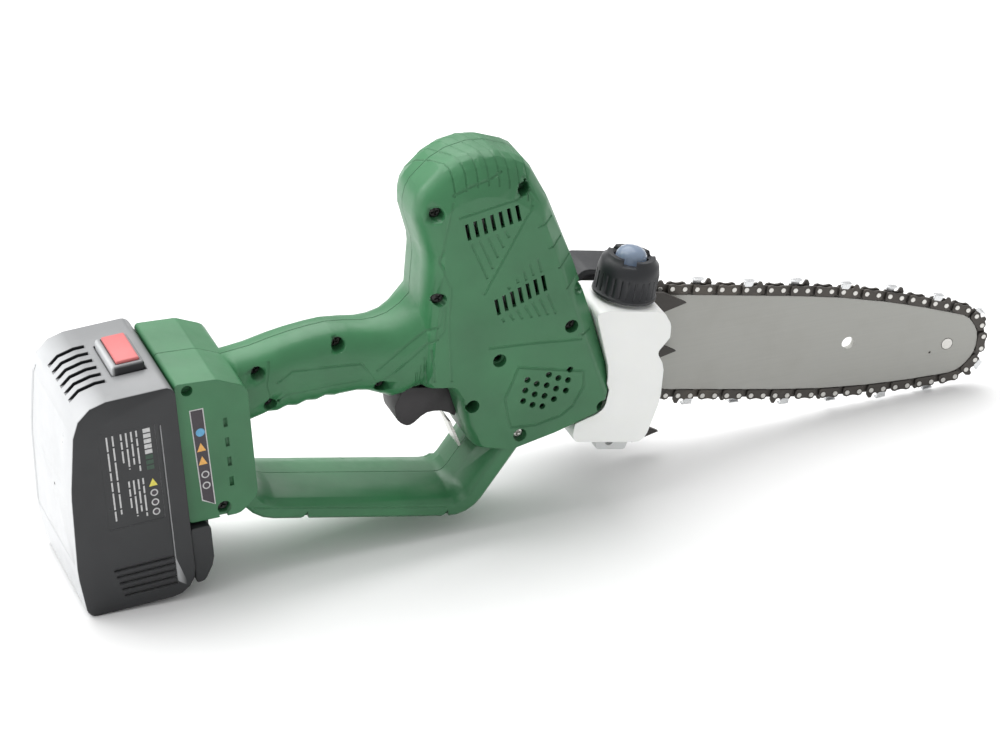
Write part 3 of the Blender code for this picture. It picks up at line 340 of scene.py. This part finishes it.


# The pack's charcoal plastic, with its painted reflection on rear and top faces
PACK_PAINTED_REFLECTION = pack_plastic_with_painted_reflection()
FILM_DARK = flat_finish("film_dark", (0.045, 0.036, 0.045))
FILM_LIGHT = flat_finish("film_light", (0.55, 0.55, 0.55))
FILM_BLUE = flat_finish("film_blue", (0.12, 0.38, 0.62))
FILM_ORANGE = flat_finish("film_orange", (0.80, 0.42, 0.10))
FILM_YELLOW = flat_finish("film_yellow", (0.75, 0.66, 0.10))
FILM_MUTED = flat_finish("film_muted", (0.03, 0.07, 0.045))


# ---------------------------------------------------------------- shaping

def link(obj, body, mat):
    """Puts a piece in the scene, on a body, with one material."""
    if obj.name not in bpy.context.scene.collection.objects:
        bpy.context.scene.collection.objects.link(obj)
    obj.data.materials.clear()
    obj.data.materials.append(mat)
    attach(obj, body)


def smooth(obj, degrees):
    obj.data.shade_smooth()
    obj.data.set_sharp_from_angle(angle=math.radians(degrees))


def copy_of(node, name, body, mat, degrees):
    """A welded copy of a CAD node that stands for it and can be worked on."""
    mesh = frame["nodes"][node].data.copy()
    mesh.name = name
    work = bmesh.new()
    work.from_mesh(mesh)
    bmesh.ops.remove_doubles(work, verts=work.verts, dist=2e-6)
    bmesh.ops.dissolve_limit(work, angle_limit=math.radians(0.3), verts=work.verts, edges=work.edges)
    work.to_mesh(mesh)
    work.free()
    obj = bpy.data.objects.new(name, mesh)
    link(obj, body, mat)
    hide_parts(node)
    smooth(obj, degrees)
    return obj


def settled(obj):
    """Applies the object's modifiers to its mesh."""
    graph = bpy.context.evaluated_depsgraph_get()
    mesh = bpy.data.meshes.new_from_object(obj.evaluated_get(graph))
    obj.modifiers.clear()
    old = obj.data
    obj.data = mesh
    if old.users == 0:
        bpy.data.meshes.remove(old)


def engrave(obj, cutters, degrees):
    """Cuts closed meshes out of an object, then drops them."""
    for cutter in cutters:
        step = obj.modifiers.new("cut", "BOOLEAN")
        step.operation = "DIFFERENCE"
        step.solver = "MANIFOLD"
        step.object = cutter
    bpy.context.view_layer.update()
    settled(obj)
    for cutter in cutters:
        bpy.data.objects.remove(cutter, do_unlink=True)
    smooth(obj, degrees)


def tube(points, radius, closed=False):
    """A closed round rod along points in the row frame; its radius is in mm."""
    curve = bpy.data.curves.new("tube", "CURVE")
    curve.dimensions = "3D"
    curve.bevel_depth = radius * MM
    curve.bevel_resolution = 1
    curve.use_fill_caps = True
    line = curve.splines.new("POLY")
    line.points.add(len(points) - 1)
    for spot, point in zip(line.points, points):
        spot.co = (*point, 1)
    line.use_cyclic_u = closed
    holder = bpy.data.objects.new("tube", curve)
    bpy.context.scene.collection.objects.link(holder)
    graph = bpy.context.evaluated_depsgraph_get()
    mesh = bpy.data.meshes.new_from_object(holder.evaluated_get(graph))
    weld = bmesh.new()
    weld.from_mesh(mesh)
    bmesh.ops.remove_doubles(weld, verts=weld.verts, dist=1e-6)
    bmesh.ops.recalc_face_normals(weld, faces=weld.faces)
    weld.to_mesh(mesh)
    weld.free()
    bpy.data.objects.remove(holder, do_unlink=True)
    made = bpy.data.objects.new("tube", mesh)
    bpy.context.scene.collection.objects.link(made)
    return made


def spread(corners, step, closed=False):
    """Points every step mm along a line of corners."""
    spots = []
    ends = list(corners) + ([corners[0]] if closed else [])
    for a, b in zip(ends, ends[1:]):
        a, b = Vector(a), Vector(b)
        count = max(1, round((b - a).length / step))
        spots += [a.lerp(b, i / count) for i in range(count)]
    return spots if closed else spots + [Vector(ends[-1])]


class Surface:
    """A mesh that lines are laid on, seen along a direction."""

    def __init__(self, obj):
        graph = bpy.context.evaluated_depsgraph_get()
        self.tree = BVHTree.FromObject(obj, graph)

    def under(self, start, way):
        spot, _, _, _ = self.tree.ray_cast(start, way)
        return spot


def scored(surface, corners, point_of, start, way, groove, closed=False):
    """A rod laid on a surface under a line of 2-D corners, to cut a groove radius - lift deep."""
    radius, lift = groove
    points = []
    for a, b in spread(corners, GROOVE_STEP, closed):
        spot = surface.under(point_of(a, start, b), way)
        if spot is not None:
            points.append(spot - way * lift * MM)
    return tube(points, radius, closed=closed)


def prism(name, outline, low, high, point_of):
    """An outline of 2-D corners between two y values."""
    work = bmesh.new()
    rims = [[work.verts.new(point_of(a, y, b)) for a, b in outline] for y in (low, high)]
    work.faces.new(rims[0])
    work.faces.new(list(reversed(rims[1])))
    for i in range(len(outline)):
        j = (i + 1) % len(outline)
        work.faces.new((rims[0][j], rims[0][i], rims[1][i], rims[1][j]))
    bmesh.ops.recalc_face_normals(work, faces=work.faces)
    mesh = bpy.data.meshes.new(name)
    work.to_mesh(mesh)
    work.free()
    made = bpy.data.objects.new(name, mesh)
    bpy.context.scene.collection.objects.link(made)
    return made


def rod_along(start, end, radius, sides=20):
    """A closed cylinder between two points; its radius is in mm."""
    axis = end - start
    work = bmesh.new()
    bmesh.ops.create_cone(
        work, cap_ends=True, segments=sides, radius1=radius * MM, radius2=radius * MM, depth=axis.length,
    )
    turn = axis.to_track_quat("Z", "Y").to_matrix().to_4x4()
    bmesh.ops.transform(work, matrix=Matrix.Translation((start + end) / 2) @ turn, verts=work.verts)
    mesh = bpy.data.meshes.new("rod")
    work.to_mesh(mesh)
    work.free()
    made = bpy.data.objects.new("rod", mesh)
    bpy.context.scene.collection.objects.link(made)
    return made


# ---------------------------------------------------------------- housing

def slot_centre(row, i):
    (x0, z0), (x1, z1) = SLOT_ROWS[row]
    share = i / (SLOTS_PER_ROW - 1)
    return x0 + (x1 - x0) * share, z0 + (z1 - z0) * share


def slot_tails():
    """The grooves that carry on from the ends of the cooling slots."""
    lines = []
    runs = ((0, UPPER_TAILS, 1, 0), (1, LOWER_HEADS, -1, 2), (1, LOWER_TAILS, 1, 0))
    for row, ends, sign, first in runs:
        for i, end in enumerate(ends):
            x, z = slot_centre(row, first + i)
            lines.append(((x + sign * SLOT_LEAN[0], z + sign * SLOT_LEAN[1]), end))
    return lines


def side_grooves(shell, start, way, lines, groove, point_of=saw_point):
    """One rod for each line, laid on a side of a shell."""
    surface = Surface(shell)
    return [scored(surface, line, point_of, start, way, groove) for line in lines]


def crown_lines(shell, first_y, last_y):
    """Fine lines that run aslant over the crown of the head, on one shell's part of it."""
    surface = Surface(shell)
    lines = []
    steps = round(abs(last_y - first_y) / CROWN_SPACING)
    for i in range(CROWN_LINES):
        points = []
        for k in range(steps + 1):
            y = first_y + (last_y - first_y) * k / steps
            x = CROWN_X + CROWN_STEP * i - CROWN_SLANT * y
            spot = surface.under(saw_point(x, y, CROWN_ABOVE), -UP)
            if spot is not None:
                points.append(spot + UP * CROWN_LIFT * MM)
        lines.append(tube(points, CROWN_R))
    return lines


def base_cutters():
    """The base's round pockets and its row of slots."""
    cutters = []
    for t, l, floor, radius in BASE_POCKETS:
        start, end = battery_point(t, NEAR_CLEAR, l), battery_point(t, floor, l)
        cutters.append(rod_along(start, end, radius))
    rear, front = BASE_SLOT_T
    for l in BASE_SLOTS:
        low, high = l - BASE_SLOT_HALF, l + BASE_SLOT_HALF
        slot = ((rear, low), (front, low), (front, high), (rear, high))
        cutters.append(prism("base_slot", slot, NEAR_CLEAR, BASE_SLOT_FLOOR, battery_point))
    return cutters


def grille_cutters():
    """The round holes of the grille, column by column."""
    cutters = []
    for column, (count, rise) in enumerate(GRILLE_COLUMNS):
        x = GRILLE_STEP_X * (column - len(GRILLE_COLUMNS) // 2) + GRILLE_SHIFT
        for i in range(count):
            z = rise + GRILLE_SHIFT + GRILLE_STEP_Z * (i - (count - 1) / 2)
            start, end = saw_point(x, NEAR_CLEAR, z), saw_point(x, GRILLE_FLOOR, z)
            cutters.append(rod_along(start, end, GRILLE_R, 14))
    return cutters


def build_housing():
    right = copy_of("housing_right", "shell_right", "saw", GREEN, SHELL_CREASE)
    left = copy_of("housing_left", "shell_left", "saw", GREEN, SHELL_CREASE)
    ticks = [((x - 2.5, z - 1.3), (x + 5.5, z + 2.9)) for x, z in CHAMFER_TICKS]
    near_sets = (
        (HEAD_LINES + HANDLE_LINES, WIDE_GROOVE), (slot_tails(), TAIL_GROOVE),
        ((*ticks, *GUARD_LINES), FINE_GROOVE), (HANDLE_RIBS, RIB_GROOVE),
    )
    # The left shell carries only the first three of the head's lines
    far_sets = ((HEAD_LINES[:3] + HANDLE_LINES, WIDE_GROOVE), (HANDLE_RIBS, RIB_GROOVE))
    crown = crown_lines(right, -1, -23.5)
    near, far = [], []
    for lines, groove in near_sets:
        near += side_grooves(right, -CLEAR, LEFT, lines, groove)
    near.append(scored(Surface(right), GRILLE_EDGE, saw_point, -CLEAR, LEFT, GRILLE_GROOVE, closed=True))
    for lines, groove in far_sets:
        far += side_grooves(left, CLEAR, -LEFT, lines, groove)
    for x, z in GUARD_NOTCHES:
        notch = ((x - 2.2, z - 2), (x + 0.4, z + 2.6), (x + 2.2, z - 2))
        near.append(prism("notch", notch, -30, -20, saw_point))
    near += base_cutters()
    for x, z in BLIND_POCKETS:
        start, end = saw_point(x, NEAR_CLEAR, z), saw_point(x, POCKET_FLOOR, z)
        near.append(rod_along(start, end, POCKET_R))
    near += grille_cutters()
    engrave(right, near + crown, SHELL_CREASE)
    engrave(left, far + crown_lines(left, 20, 1), SHELL_CREASE)
    for shell in (right, left):
        weighted = shell.modifiers.new("weighted", "WEIGHTED_NORMAL")
        weighted.keep_sharp = True
        weighted.mode = "FACE_AREA_WITH_ANGLE"


# ---------------------------------------------------------------- screws

CROSS = (
    (-1.7, -0.42), (-0.42, -0.42), (-0.42, -1.7), (0.42, -1.7), (0.42, -0.42), (1.7, -0.42), (1.7, 0.42),
    (0.42, 0.42), (0.42, 1.7), (-0.42, 1.7), (-0.42, 0.42), (-1.7, 0.42),
)
CROSS_DEPTH, SCREW_CREASE = 1.3, 30
SILVER_SCREW = "housing_screw_5"


def build_screws():
    """Each screw with a cross recess, turned by a different amount."""
    for name in sorted(frame["nodes"]):
        if not name.startswith(("housing_screw", "base_screw")):
            continue
        mat = BRIGHT if name == SILVER_SCREW else POCKET_SCREW
        screw = copy_of(name, name + "_look", "saw", mat, SCREW_CREASE)
        inverse = SAW.inverted()
        spots = [inverse @ v.co / MM for v in screw.data.vertices]
        low = min(spot.y for spot in spots)
        x = sum(spot.x for spot in spots) / len(spots)
        z = sum(spot.z for spot in spots) / len(spots)
        turn = 0.4 + 1.3 * x
        ct, st = math.cos(turn), math.sin(turn)
        outline = [(x + a * ct - b * st, z + a * st + b * ct) for a, b in CROSS]
        engrave(screw, [prism("cross", outline, low - 1, low + CROSS_DEPTH, saw_point)], SCREW_CREASE)


# ---------------------------------------------------------------- battery

PACK_CREASE = 28
RIB_LEVELS = (7.2, 10.7, 14.2, 17.7, 21.2)
TEXT_BARS = (
    (30.4, 91, 70), (28.0, 91, 74), (25.6, 91, 72), (23.2, 91, 76), (19.4, 91, 50), (16.6, 91, 47),
    (31.0, 66, 46), (28.8, 66, 49), (26.6, 66, 47), (24.4, 66, 52),
)
LABEL_PANEL = ((13, 43), (39.5, 43), (39.5, 92.5), (13, 92.5))
BLOCKS, BLOCKS_PALE, BLOCK_T, BLOCK_TOP, BLOCK_STEP, BLOCK_HEIGHT = 8, 5, (33.8, 37.2), 91, 2.75, 2.1
BAR_WIDTH, BAR_GAP, BAR_SHORTEST, BAR_EXTRA = 0.75, 0.9, 3.2, 2.1
MARK_T, MARK_LEVELS = 35.8, (57.2, 52.2, 47.2)
# How far each printed layer stands off its face
PRINT_BAR, PRINT_BLOCK, PRINT_INNER = 0.05, 0.06, 0.1
STICKER_EDGE, STICKER_FIELD, STICKER_MARK, STICKER_HOLE = 0.08, 0.14, 0.2, 0.24
REAR_LINE = ((31, 98), (31, 25.5), (-31, 27))
BASE_STICKER = ((57, 92.3), (63.6, 92.1), (64.6, 40.9), (58.3, 44.4))


def shrunk(outline, amount):
    """An outline whose corners are drawn in towards its middle by the same amount both ways."""
    cx = sum(a for a, _ in outline) / len(outline)
    cz = sum(b for _, b in outline) / len(outline)
    drawn = []
    for a, b in outline:
        drawn.append((a - math.copysign(amount, a - cx), b - math.copysign(amount, b - cz)))
    return drawn


def disc(a, b, radius, sides=20):
    """A round outline."""
    turns = [2 * math.pi * i / sides for i in range(sides)]
    return [(a + radius * math.cos(turn), b + radius * math.sin(turn)) for turn in turns]


def film(name, outline, face, height, mat, body):
    """A thin printed shape lying on a side face at y = -face."""
    link(prism(name, outline, -face - height, -face + 0.1, battery_point), body, mat)


def build_pack():
    """The pack's shell with its ribs, seam, label panel and rear line."""
    shell = copy_of("battery_shell", "pack_shell", "battery", PACK_PAINTED_REFLECTION, PACK_CREASE)
    ahead = (SAW.to_3x3() @ BATTERY_T).normalized()
    surface = Surface(shell)
    lines = [((13 + 0.9 * i, l), (42, l)) for i, l in enumerate(reversed(RIB_LEVELS))]
    cutters = side_grooves(shell, -CLEAR, LEFT, lines, PACK_RIB_GROOVE, battery_point)
    seam = (((41.9, 8), (41.9, 91)),)
    cutters += side_grooves(shell, -CLEAR, LEFT, seam, PACK_SEAM_GROOVE, battery_point)
    cutters += side_grooves(shell, CLEAR, -LEFT, seam, PACK_SEAM_GROOVE, battery_point)
    cutters.append(prism("label_panel", LABEL_PANEL, -BATTERY_HALF - 1, -LABEL_FACE, battery_point))
    line = spread(REAR_LINE, GROOVE_STEP)
    rear = [surface.under(battery_point(-25, y, l), ahead) for y, l in line]
    cutters.append(tube([spot - ahead * 0.15 * MM for spot in rear if spot is not None], 0.4))
    cutters.append(rod_along(battery_point(-10, -5.2, 55.7), battery_point(2, -5.2, 55.7), 0.8))
    engrave(shell, cutters, PACK_CREASE)


def build_label():
    """Plain blocks, bars and marks where the pack carries its print."""
    rear, front = BLOCK_T
    for i in range(BLOCKS):
        top = BLOCK_TOP - BLOCK_STEP * i
        low = top - BLOCK_HEIGHT
        block = ((rear, low), (front, low), (front, top), (rear, top))
        mat = FILM_LIGHT if i < BLOCKS_PALE else FILM_MUTED
        film(f"label_block_{i}", block, LABEL_FACE, PRINT_BLOCK, mat, "battery")
    for i, (t, top, low) in enumerate(TEXT_BARS):
        step = 0
        while top - step > low:
            length = BAR_SHORTEST + BAR_EXTRA * ((i * 7 + step * 3) % 3)
            end = max(low, top - step - length)
            bar = ((t, end), (t + BAR_WIDTH, end), (t + BAR_WIDTH, top - step), (t, top - step))
            film(f"label_text_{i}_{step:.0f}", bar, LABEL_FACE, PRINT_BAR, FILM_LIGHT, "battery")
            step += length + BAR_GAP
    mark = ((33.8, 60.8), (37.8, 60.8), (35.8, 64.8))
    film("label_mark_0", mark, LABEL_FACE, PRINT_BLOCK, FILM_YELLOW, "battery")
    for i, l in enumerate(MARK_LEVELS):
        film(f"label_mark_{i + 1}", disc(MARK_T, l, 1.8), LABEL_FACE, PRINT_BLOCK, FILM_LIGHT, "battery")
        film(f"label_inner_{i + 1}", disc(MARK_T, l, 1.2), LABEL_FACE, PRINT_INNER, FILM_DARK, "battery")


def build_sticker():
    """A dark strip with a pale edge on the base, with a disc, two triangles and two rings."""
    film("sticker_edge", BASE_STICKER, BASE_HALF, STICKER_EDGE, FILM_LIGHT, "saw")
    film("sticker_field", shrunk(BASE_STICKER, 0.5), BASE_HALF, STICKER_FIELD, FILM_DARK, "saw")
    film("sticker_disc", disc(61, 80, 2.1), BASE_HALF, STICKER_MARK, FILM_BLUE, "saw")
    for i, l in enumerate((72.2, 65.2)):
        mark = ((58.6, l - 2), (62.8, l - 2), (60.6, l + 2.4))
        film(f"sticker_mark_{i}", mark, BASE_HALF, STICKER_MARK, FILM_ORANGE, "saw")
    for i, l in enumerate((57.8, 52)):
        film(f"sticker_ring_{i}", disc(61.2, l, 1.9), BASE_HALF, STICKER_MARK, FILM_LIGHT, "saw")
        film(f"sticker_hole_{i}", disc(61.2, l, 1.3), BASE_HALF, STICKER_HOLE, FILM_DARK, "saw")


# ---------------------------------------------------------------- tank cap

def build_cap():
    cap = copy_of("tank_cap", "cap_look", "cap", BLACK, CAP_CREASE)
    grooves = []
    reach = CAP_R - CAP_GROOVE_IN
    low, high = CAP_GROOVE_SPAN
    for i in range(CAP_GROOVES):
        turn = 2 * math.pi * i / CAP_GROOVES
        x, y = CAP_X + reach * math.cos(turn), CAP_Y + reach * math.sin(turn)
        start, end = saw_point(x, y, CAP_Z + low), saw_point(x, y, CAP_Z + high)
        grooves.append(rod_along(start, end, CAP_GROOVE_R, 8))
    engrave(cap, grooves, CAP_CREASE)


# ---------------------------------------------------------------- chain

# Where the chain leaves the sprocket and the nose, as angles from the bar's line
TAIL_ANGLE, NOSE_ANGLE = math.radians(101), math.radians(75)
TAIL_STEPS, NOSE_STEPS = 32, 30
RAIL_STOPS = (34, 46, 60, 74, 100, 130, 150, 162, 175, 188, 200, 211, 222)


def pitch_radius(teeth):
    """The radius on which a wheel with so many teeth carries the chain's rivets."""
    return CHAIN_PITCH / (2 * math.sin(math.pi / (2 * teeth)))


def bar_edge(x):
    """Half the height of the bar's rails."""
    if x > LEVEL_TO:
        share = (x - LEVEL_TO) / (NOSE_X - LEVEL_TO)
        return BAR_HALF - (BAR_HALF - (pitch_radius(NOSE_TEETH) - RIVET_OUT)) * share ** 2
    if x < LEVEL_FROM:
        share = (LEVEL_FROM - x) / TAIL_LENGTH
        return BAR_HALF - TAIL_DROP * share ** 2
    return BAR_HALF


def chain_path():
    """The closed line of the rivets: round the sprocket, along the rails and round the nose."""
    wheel_r, nose_r = pitch_radius(SPROCKET_TEETH), pitch_radius(NOSE_TEETH)
    tail = []
    for i in range(TAIL_STEPS + 1):
        angle = -TAIL_ANGLE - (2 * math.pi - 2 * TAIL_ANGLE) * i / TAIL_STEPS
        tail.append((wheel_r * math.cos(angle), wheel_r * math.sin(angle)))
    rails = [(x, bar_edge(x) + RIVET_OUT) for x in RAIL_STOPS]
    nose = []
    for i in range(NOSE_STEPS + 1):
        angle = NOSE_ANGLE - 2 * NOSE_ANGLE * i / NOSE_STEPS
        nose.append((NOSE_X + nose_r * math.cos(angle), nose_r * math.sin(angle)))
    return [Vector(spot) for spot in tail + rails + nose + [(x, -z) for x, z in reversed(rails)]]


def rivet_spots():
    """The rivets, evenly spaced along the closed line."""
    path = chain_path()
    ends = path[1:] + path[:1]
    pitch = sum((b - a).length for a, b in zip(path, ends)) / CHAIN_LINKS
    spots = []
    want = CHAIN_START * pitch
    travelled = 0.0
    for a, b in zip(path, ends):
        length = (b - a).length
        while want < travelled + length and len(spots) < CHAIN_LINKS:
            spots.append(a.lerp(b, (want - travelled) / length))
            want += pitch
        travelled += length
    return spots


# How far inside the rivet line the links reach: on the sprocket, up to where it ends, and along the rails
WHEEL_FLOOR, WHEEL_END, RAIL_FLOOR = -2.3, 24.0, -4.6
# Across the chain: the two faces of each side plate, the rivet heads and half a drive link
PLATE_IN, PLATE_OUT, RIVET_HEAD, TANG_HALF = 0.85, 2.2, 2.55, 0.65
RIVET_HEAD_R, CHEEK_PROUD, PLATE_REACH = 1.3, 0.08, 0.6
# Links from one cutter to the next on the same side
CUTTER_EVERY = 8
STRAP = (
    (-5.5, -2.2), (-4.6, -3.0), (4.6, -3.0), (5.5, -2.2), (5.5, 0.6), (4.8, 1.9), (3.2, 2.4), (1.5, 1.9),
    (0, 1.7), (-1.5, 1.9), (-3.2, 2.4), (-4.8, 1.9), (-5.5, 0.6),
)
TANG = (
    (-4.4, 1.6), (4.4, 1.6), (4.6, -1.2), (2.0, -2.4), (0.5, -5.6), (-0.9, -5.6), (-2.4, -2.4), (-4.6, -1.2),
)
CUTTER = (
    (-5.5, -2.2), (-4.6, -3.0), (4.6, -3.0), (5.4, -1.8), (5.5, 2.4), (4.3, 4.3), (2.9, 4.3), (2.0, 2.0),
    (0.9, 1.7), (-0.5, 2.2), (-5.0, 2.2), (-5.6, 1.2),
)
CHEEK = ((-5.0, 1.6), (-1.2, 1.6), (-0.4, 2.6), (-0.2, 5.0), (-5.0, 4.4))
TOP_PLATE = ((-5.0, 3.75), (-0.2, 4.4), (0.1, 5.1), (-5.0, 4.5))


class Batch:
    """Many small prisms gathered into one mesh."""

    def __init__(self):
        self.work = bmesh.new()

    def prism(self, outline, low, high, middle, along):
        across = Vector((-along.y, along.x))
        rims = []
        for y in (low, high):
            rim = []
            for u, v in outline:
                spot = middle + along * u + across * v
                rim.append(self.work.verts.new(saw_point(spot.x, BAR_Y + y, spot.y)))
            rims.append(rim)
        faces = [self.work.faces.new(rims[0]), self.work.faces.new(list(reversed(rims[1])))]
        for i in range(len(outline)):
            j = (i + 1) % len(outline)
            faces.append(self.work.faces.new((rims[0][j], rims[0][i], rims[1][i], rims[1][j])))
        bmesh.ops.recalc_face_normals(self.work, faces=faces)

    def finish(self, name, mat, bevel=0.18):
        mesh = bpy.data.meshes.new(name)
        self.work.to_mesh(mesh)
        self.work.free()
        made = bpy.data.objects.new(name, mesh)
        link(made, "saw", mat)
        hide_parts("saw_chain")
        rim = made.modifiers.new("rim", "BEVEL")
        rim.width = bevel * MM
        rim.segments = 1
        rim.limit_method = "ANGLE"
        rim.angle_limit = math.radians(50)
        smooth(made, 32)


def clipped(outline, floor):
    """An outline with everything below a level pushed up to it."""
    return [(u, max(v, floor)) for u, v in outline]


def build_chain():
    """Pairs of side plates with drive links between; every second pair has a cutter, near and far by turns."""
    spots = rivet_spots()
    straps, tangs, teeth, plates, rivets = Batch(), Batch(), Batch(), Batch(), Batch()
    for i, spot in enumerate(spots):
        after = spots[(i + 1) % len(spots)]
        middle, along = (spot + after) / 2, (after - spot).normalized()
        for low, high in ((-RIVET_HEAD, -PLATE_OUT), (PLATE_OUT, RIVET_HEAD)):
            rivets.prism(disc(0, 0, RIVET_HEAD_R, 10), low, high, spot, along)
        floor = WHEEL_FLOOR if middle.x < WHEEL_END else RAIL_FLOOR
        if i % 2:
            tangs.prism(clipped(TANG, floor), -TANG_HALF, TANG_HALF, middle, along)
            continue
        place = i % CUTTER_EVERY
        near, far = place == 0, place == CUTTER_EVERY // 2
        sides = ((near, -PLATE_OUT, -PLATE_IN, 1), (far, PLATE_IN, PLATE_OUT, -1))
        for cutter, low, high, inward in sides:
            if cutter:
                straps.prism(clipped(CUTTER, floor), low, high, middle, along)
                teeth.prism(CHEEK, low - CHEEK_PROUD, high + CHEEK_PROUD, middle, along)
                reach = sorted((inward * -PLATE_OUT, inward * PLATE_REACH))
                plates.prism(TOP_PLATE, *reach, middle, along)
            else:
                straps.prism(clipped(STRAP, floor), low, high, middle, along)
    straps.finish("chain_straps", DARK_STEEL)
    tangs.finish("chain_drive_links", DARK_STEEL)
    teeth.finish("chain_cutters", CHROME)
    plates.finish("chain_top_plates", CHROME, 0.1)
    rivets.finish("chain_rivets", BRIGHT, 0.12)


# ---------------------------------------------------------------- carried-over nodes

PLAIN = {
    "oil_tank": (TANK, "white_polyethylene", 40),
    "pump_bulb": (BULB, "clear_rubber", 50),
    "tank_bracket": (LUG, "cast_aluminium", 30),
    "sprocket_cover": (BLACK, "black_plastic", 30),
    "bumper_spikes": (SPIKE_STEEL, "dark_steel", 25),
    "guide_bar": (BAR_STEEL, "ground_steel", 25),
    "nose_rivet": (BRIGHT, "ground_steel", 30),
    "nose_sprocket": (BRIGHT, "bright_steel", 30),
    "guard_strip": (BRIGHT, "bright_steel", 30),
    "trigger": (TRIGGER, "black_plastic", 40),
    "lock_off_button": (BLACK, "black_plastic", 40),
    "bar_nut": (ZINC, "bright_steel", 30),
    "bar_stud": (ZINC, "bright_steel", 30),
    "battery_rail": (CHARCOAL, "black_plastic", 30),
    # The latch wears the pack's plastic, with its painted reflection in silver on its rear and top faces
    "latch_button": (PACK_PAINTED_REFLECTION, "black_plastic", 35),
    "latch_insert": (RED, "red_plastic", 35),
    "guide_plate": (BRIGHT, "bright_steel", 30),
    "tensioner_screw": (ZINC, "bright_steel", 30),
    "tensioner_pin": (ZINC, "bright_steel", 30),
    "drive_sprocket": (BRIGHT, "bright_steel", 30),
}
REBUILT = ("housing_right", "housing_left", "battery_shell", "tank_cap", "saw_chain")
INSIDE = (
    ("cooling_fan", BLACK), ("gear_case", CAST), ("motor_can", CAST), ("cell_", CELL),
    ("control_board", BOARD), ("terminal_block", BLACK), ("switch_body", BLACK),
)
OIL_HOLE, OIL_HOLE_R = (231.5, -4.9), 0.6
BODY_OF = {}
for body_name, members in frame["record"]["behaviour"]["bodies"].items():
    for member in members:
        BODY_OF[member] = body_name

build_housing()
build_screws()
build_pack()
build_label()
build_sticker()
build_cap()
build_chain()
for node_name, (mat, slot_name, crease) in PLAIN.items():
    made = copy_of(node_name, node_name + "_look", BODY_OF[node_name], mat, crease)
    if node_name == "guide_bar":
        x, z = OIL_HOLE
        start, end = saw_point(x, BAR_Y - 9, z), saw_point(x, BAR_Y + 9, z)
        engrave(made, [rod_along(start, end, OIL_HOLE_R, 12)], crease)
for node_name, obj in frame["nodes"].items():
    if node_name in PLAIN or node_name in REBUILT or "_screw_" in node_name:
        continue
    finish = next((mat for start, mat in INSIDE if node_name.startswith(start)), BRIGHT)
    obj.data.materials.clear()
    obj.data.materials.append(finish)


# ---------------------------------------------------------------- stage

LIGHT_TARGET = Vector((0, 0, 0.05))
FLOOR_REACH, FLOOR_GAP = 6.0, 0.0002
WORLD_STRENGTH = 0.64
# The camera in the saw's frame: its place, the way it looks, its roll and its lens
CAMERA_PLACE = Vector((-742.9, -1489.0, 737.2)) * MM
CAMERA_AZIMUTH, CAMERA_ELEVATION, CAMERA_ROLL = math.radians(20.99), math.radians(28.61), math.radians(11.146)
SENSOR, LENS = 36, 138.204


def area_light(name, place, size, power):
    """A soft panel aimed at the middle of the saw."""
    lamp = bpy.data.lights.new(name, "AREA")
    lamp.shape = "RECTANGLE"
    lamp.size, lamp.size_y = size
    lamp.energy = power
    holder = bpy.data.objects.new(name, lamp)
    bpy.context.scene.collection.objects.link(holder)
    holder.location = place
    holder.rotation_euler = (LIGHT_TARGET - Vector(place)).to_track_quat("-Z", "Y").to_euler()


def build_stage():
    scene = bpy.context.scene
    scene.view_settings.view_transform = "Standard"
    work = bmesh.new()
    for x, y in ((-1, -1), (1, -1), (1, 1), (-1, 1)):
        work.verts.new((x * FLOOR_REACH, y * FLOOR_REACH, cad_box[0].z - FLOOR_GAP))
    work.faces.new(work.verts)
    mesh = bpy.data.meshes.new("floor")
    work.to_mesh(mesh)
    work.free()
    floor = bpy.data.objects.new("floor", mesh)
    scene.collection.objects.link(floor)
    floor_mat, tree, shader = new_material("floor_paper", (0.93, 0.93, 0.93), 0.9)
    where = tree.nodes.new("ShaderNodeTexCoord").outputs["Object"]
    shade = mixed(tree, noise(tree, where, 40.0), (0.92, 0.92, 0.92), (0.94, 0.94, 0.94))
    tree.links.new(shade, shader.inputs["Base Color"])
    mesh.materials.append(floor_mat)
    world = bpy.data.worlds.new("studio")
    scene.world = world
    world.use_nodes = True
    sky = world.node_tree.nodes["Background"]
    sky.inputs["Color"].default_value = (1, 1, 1, 1)
    sky.inputs["Strength"].default_value = WORLD_STRENGTH
    area_light("top_light", (-0.2, 0.7, 1.5), (2.4, 1.8), 38)
    area_light("rear_light", (-1.6, 0.6, 0.8), (1.4, 1.4), 10)


def build_camera():
    ca, sa = math.cos(CAMERA_AZIMUTH), math.sin(CAMERA_AZIMUTH)
    ce, se = math.cos(CAMERA_ELEVATION), math.sin(CAMERA_ELEVATION)
    across = Vector((ca, -sa, 0))
    above = Vector((sa * se, ca * se, ce))
    back = Vector((-sa * ce, -ca * ce, se))
    lean = Matrix.Rotation(-CAMERA_ROLL, 3, "Y")
    axes = Matrix([lean @ axis for axis in (across, above, back)]).transposed().to_4x4()
    axes.translation = CAMERA_PLACE
    data = bpy.data.cameras.new("camera")
    data.sensor_width = SENSOR
    data.lens = LENS
    data.clip_end = 50
    camera = bpy.data.objects.new("camera", data)
    bpy.context.scene.collection.objects.link(camera)
    camera.matrix_world = SAW @ axes
    bpy.context.scene.camera = camera


build_stage()
build_camera()
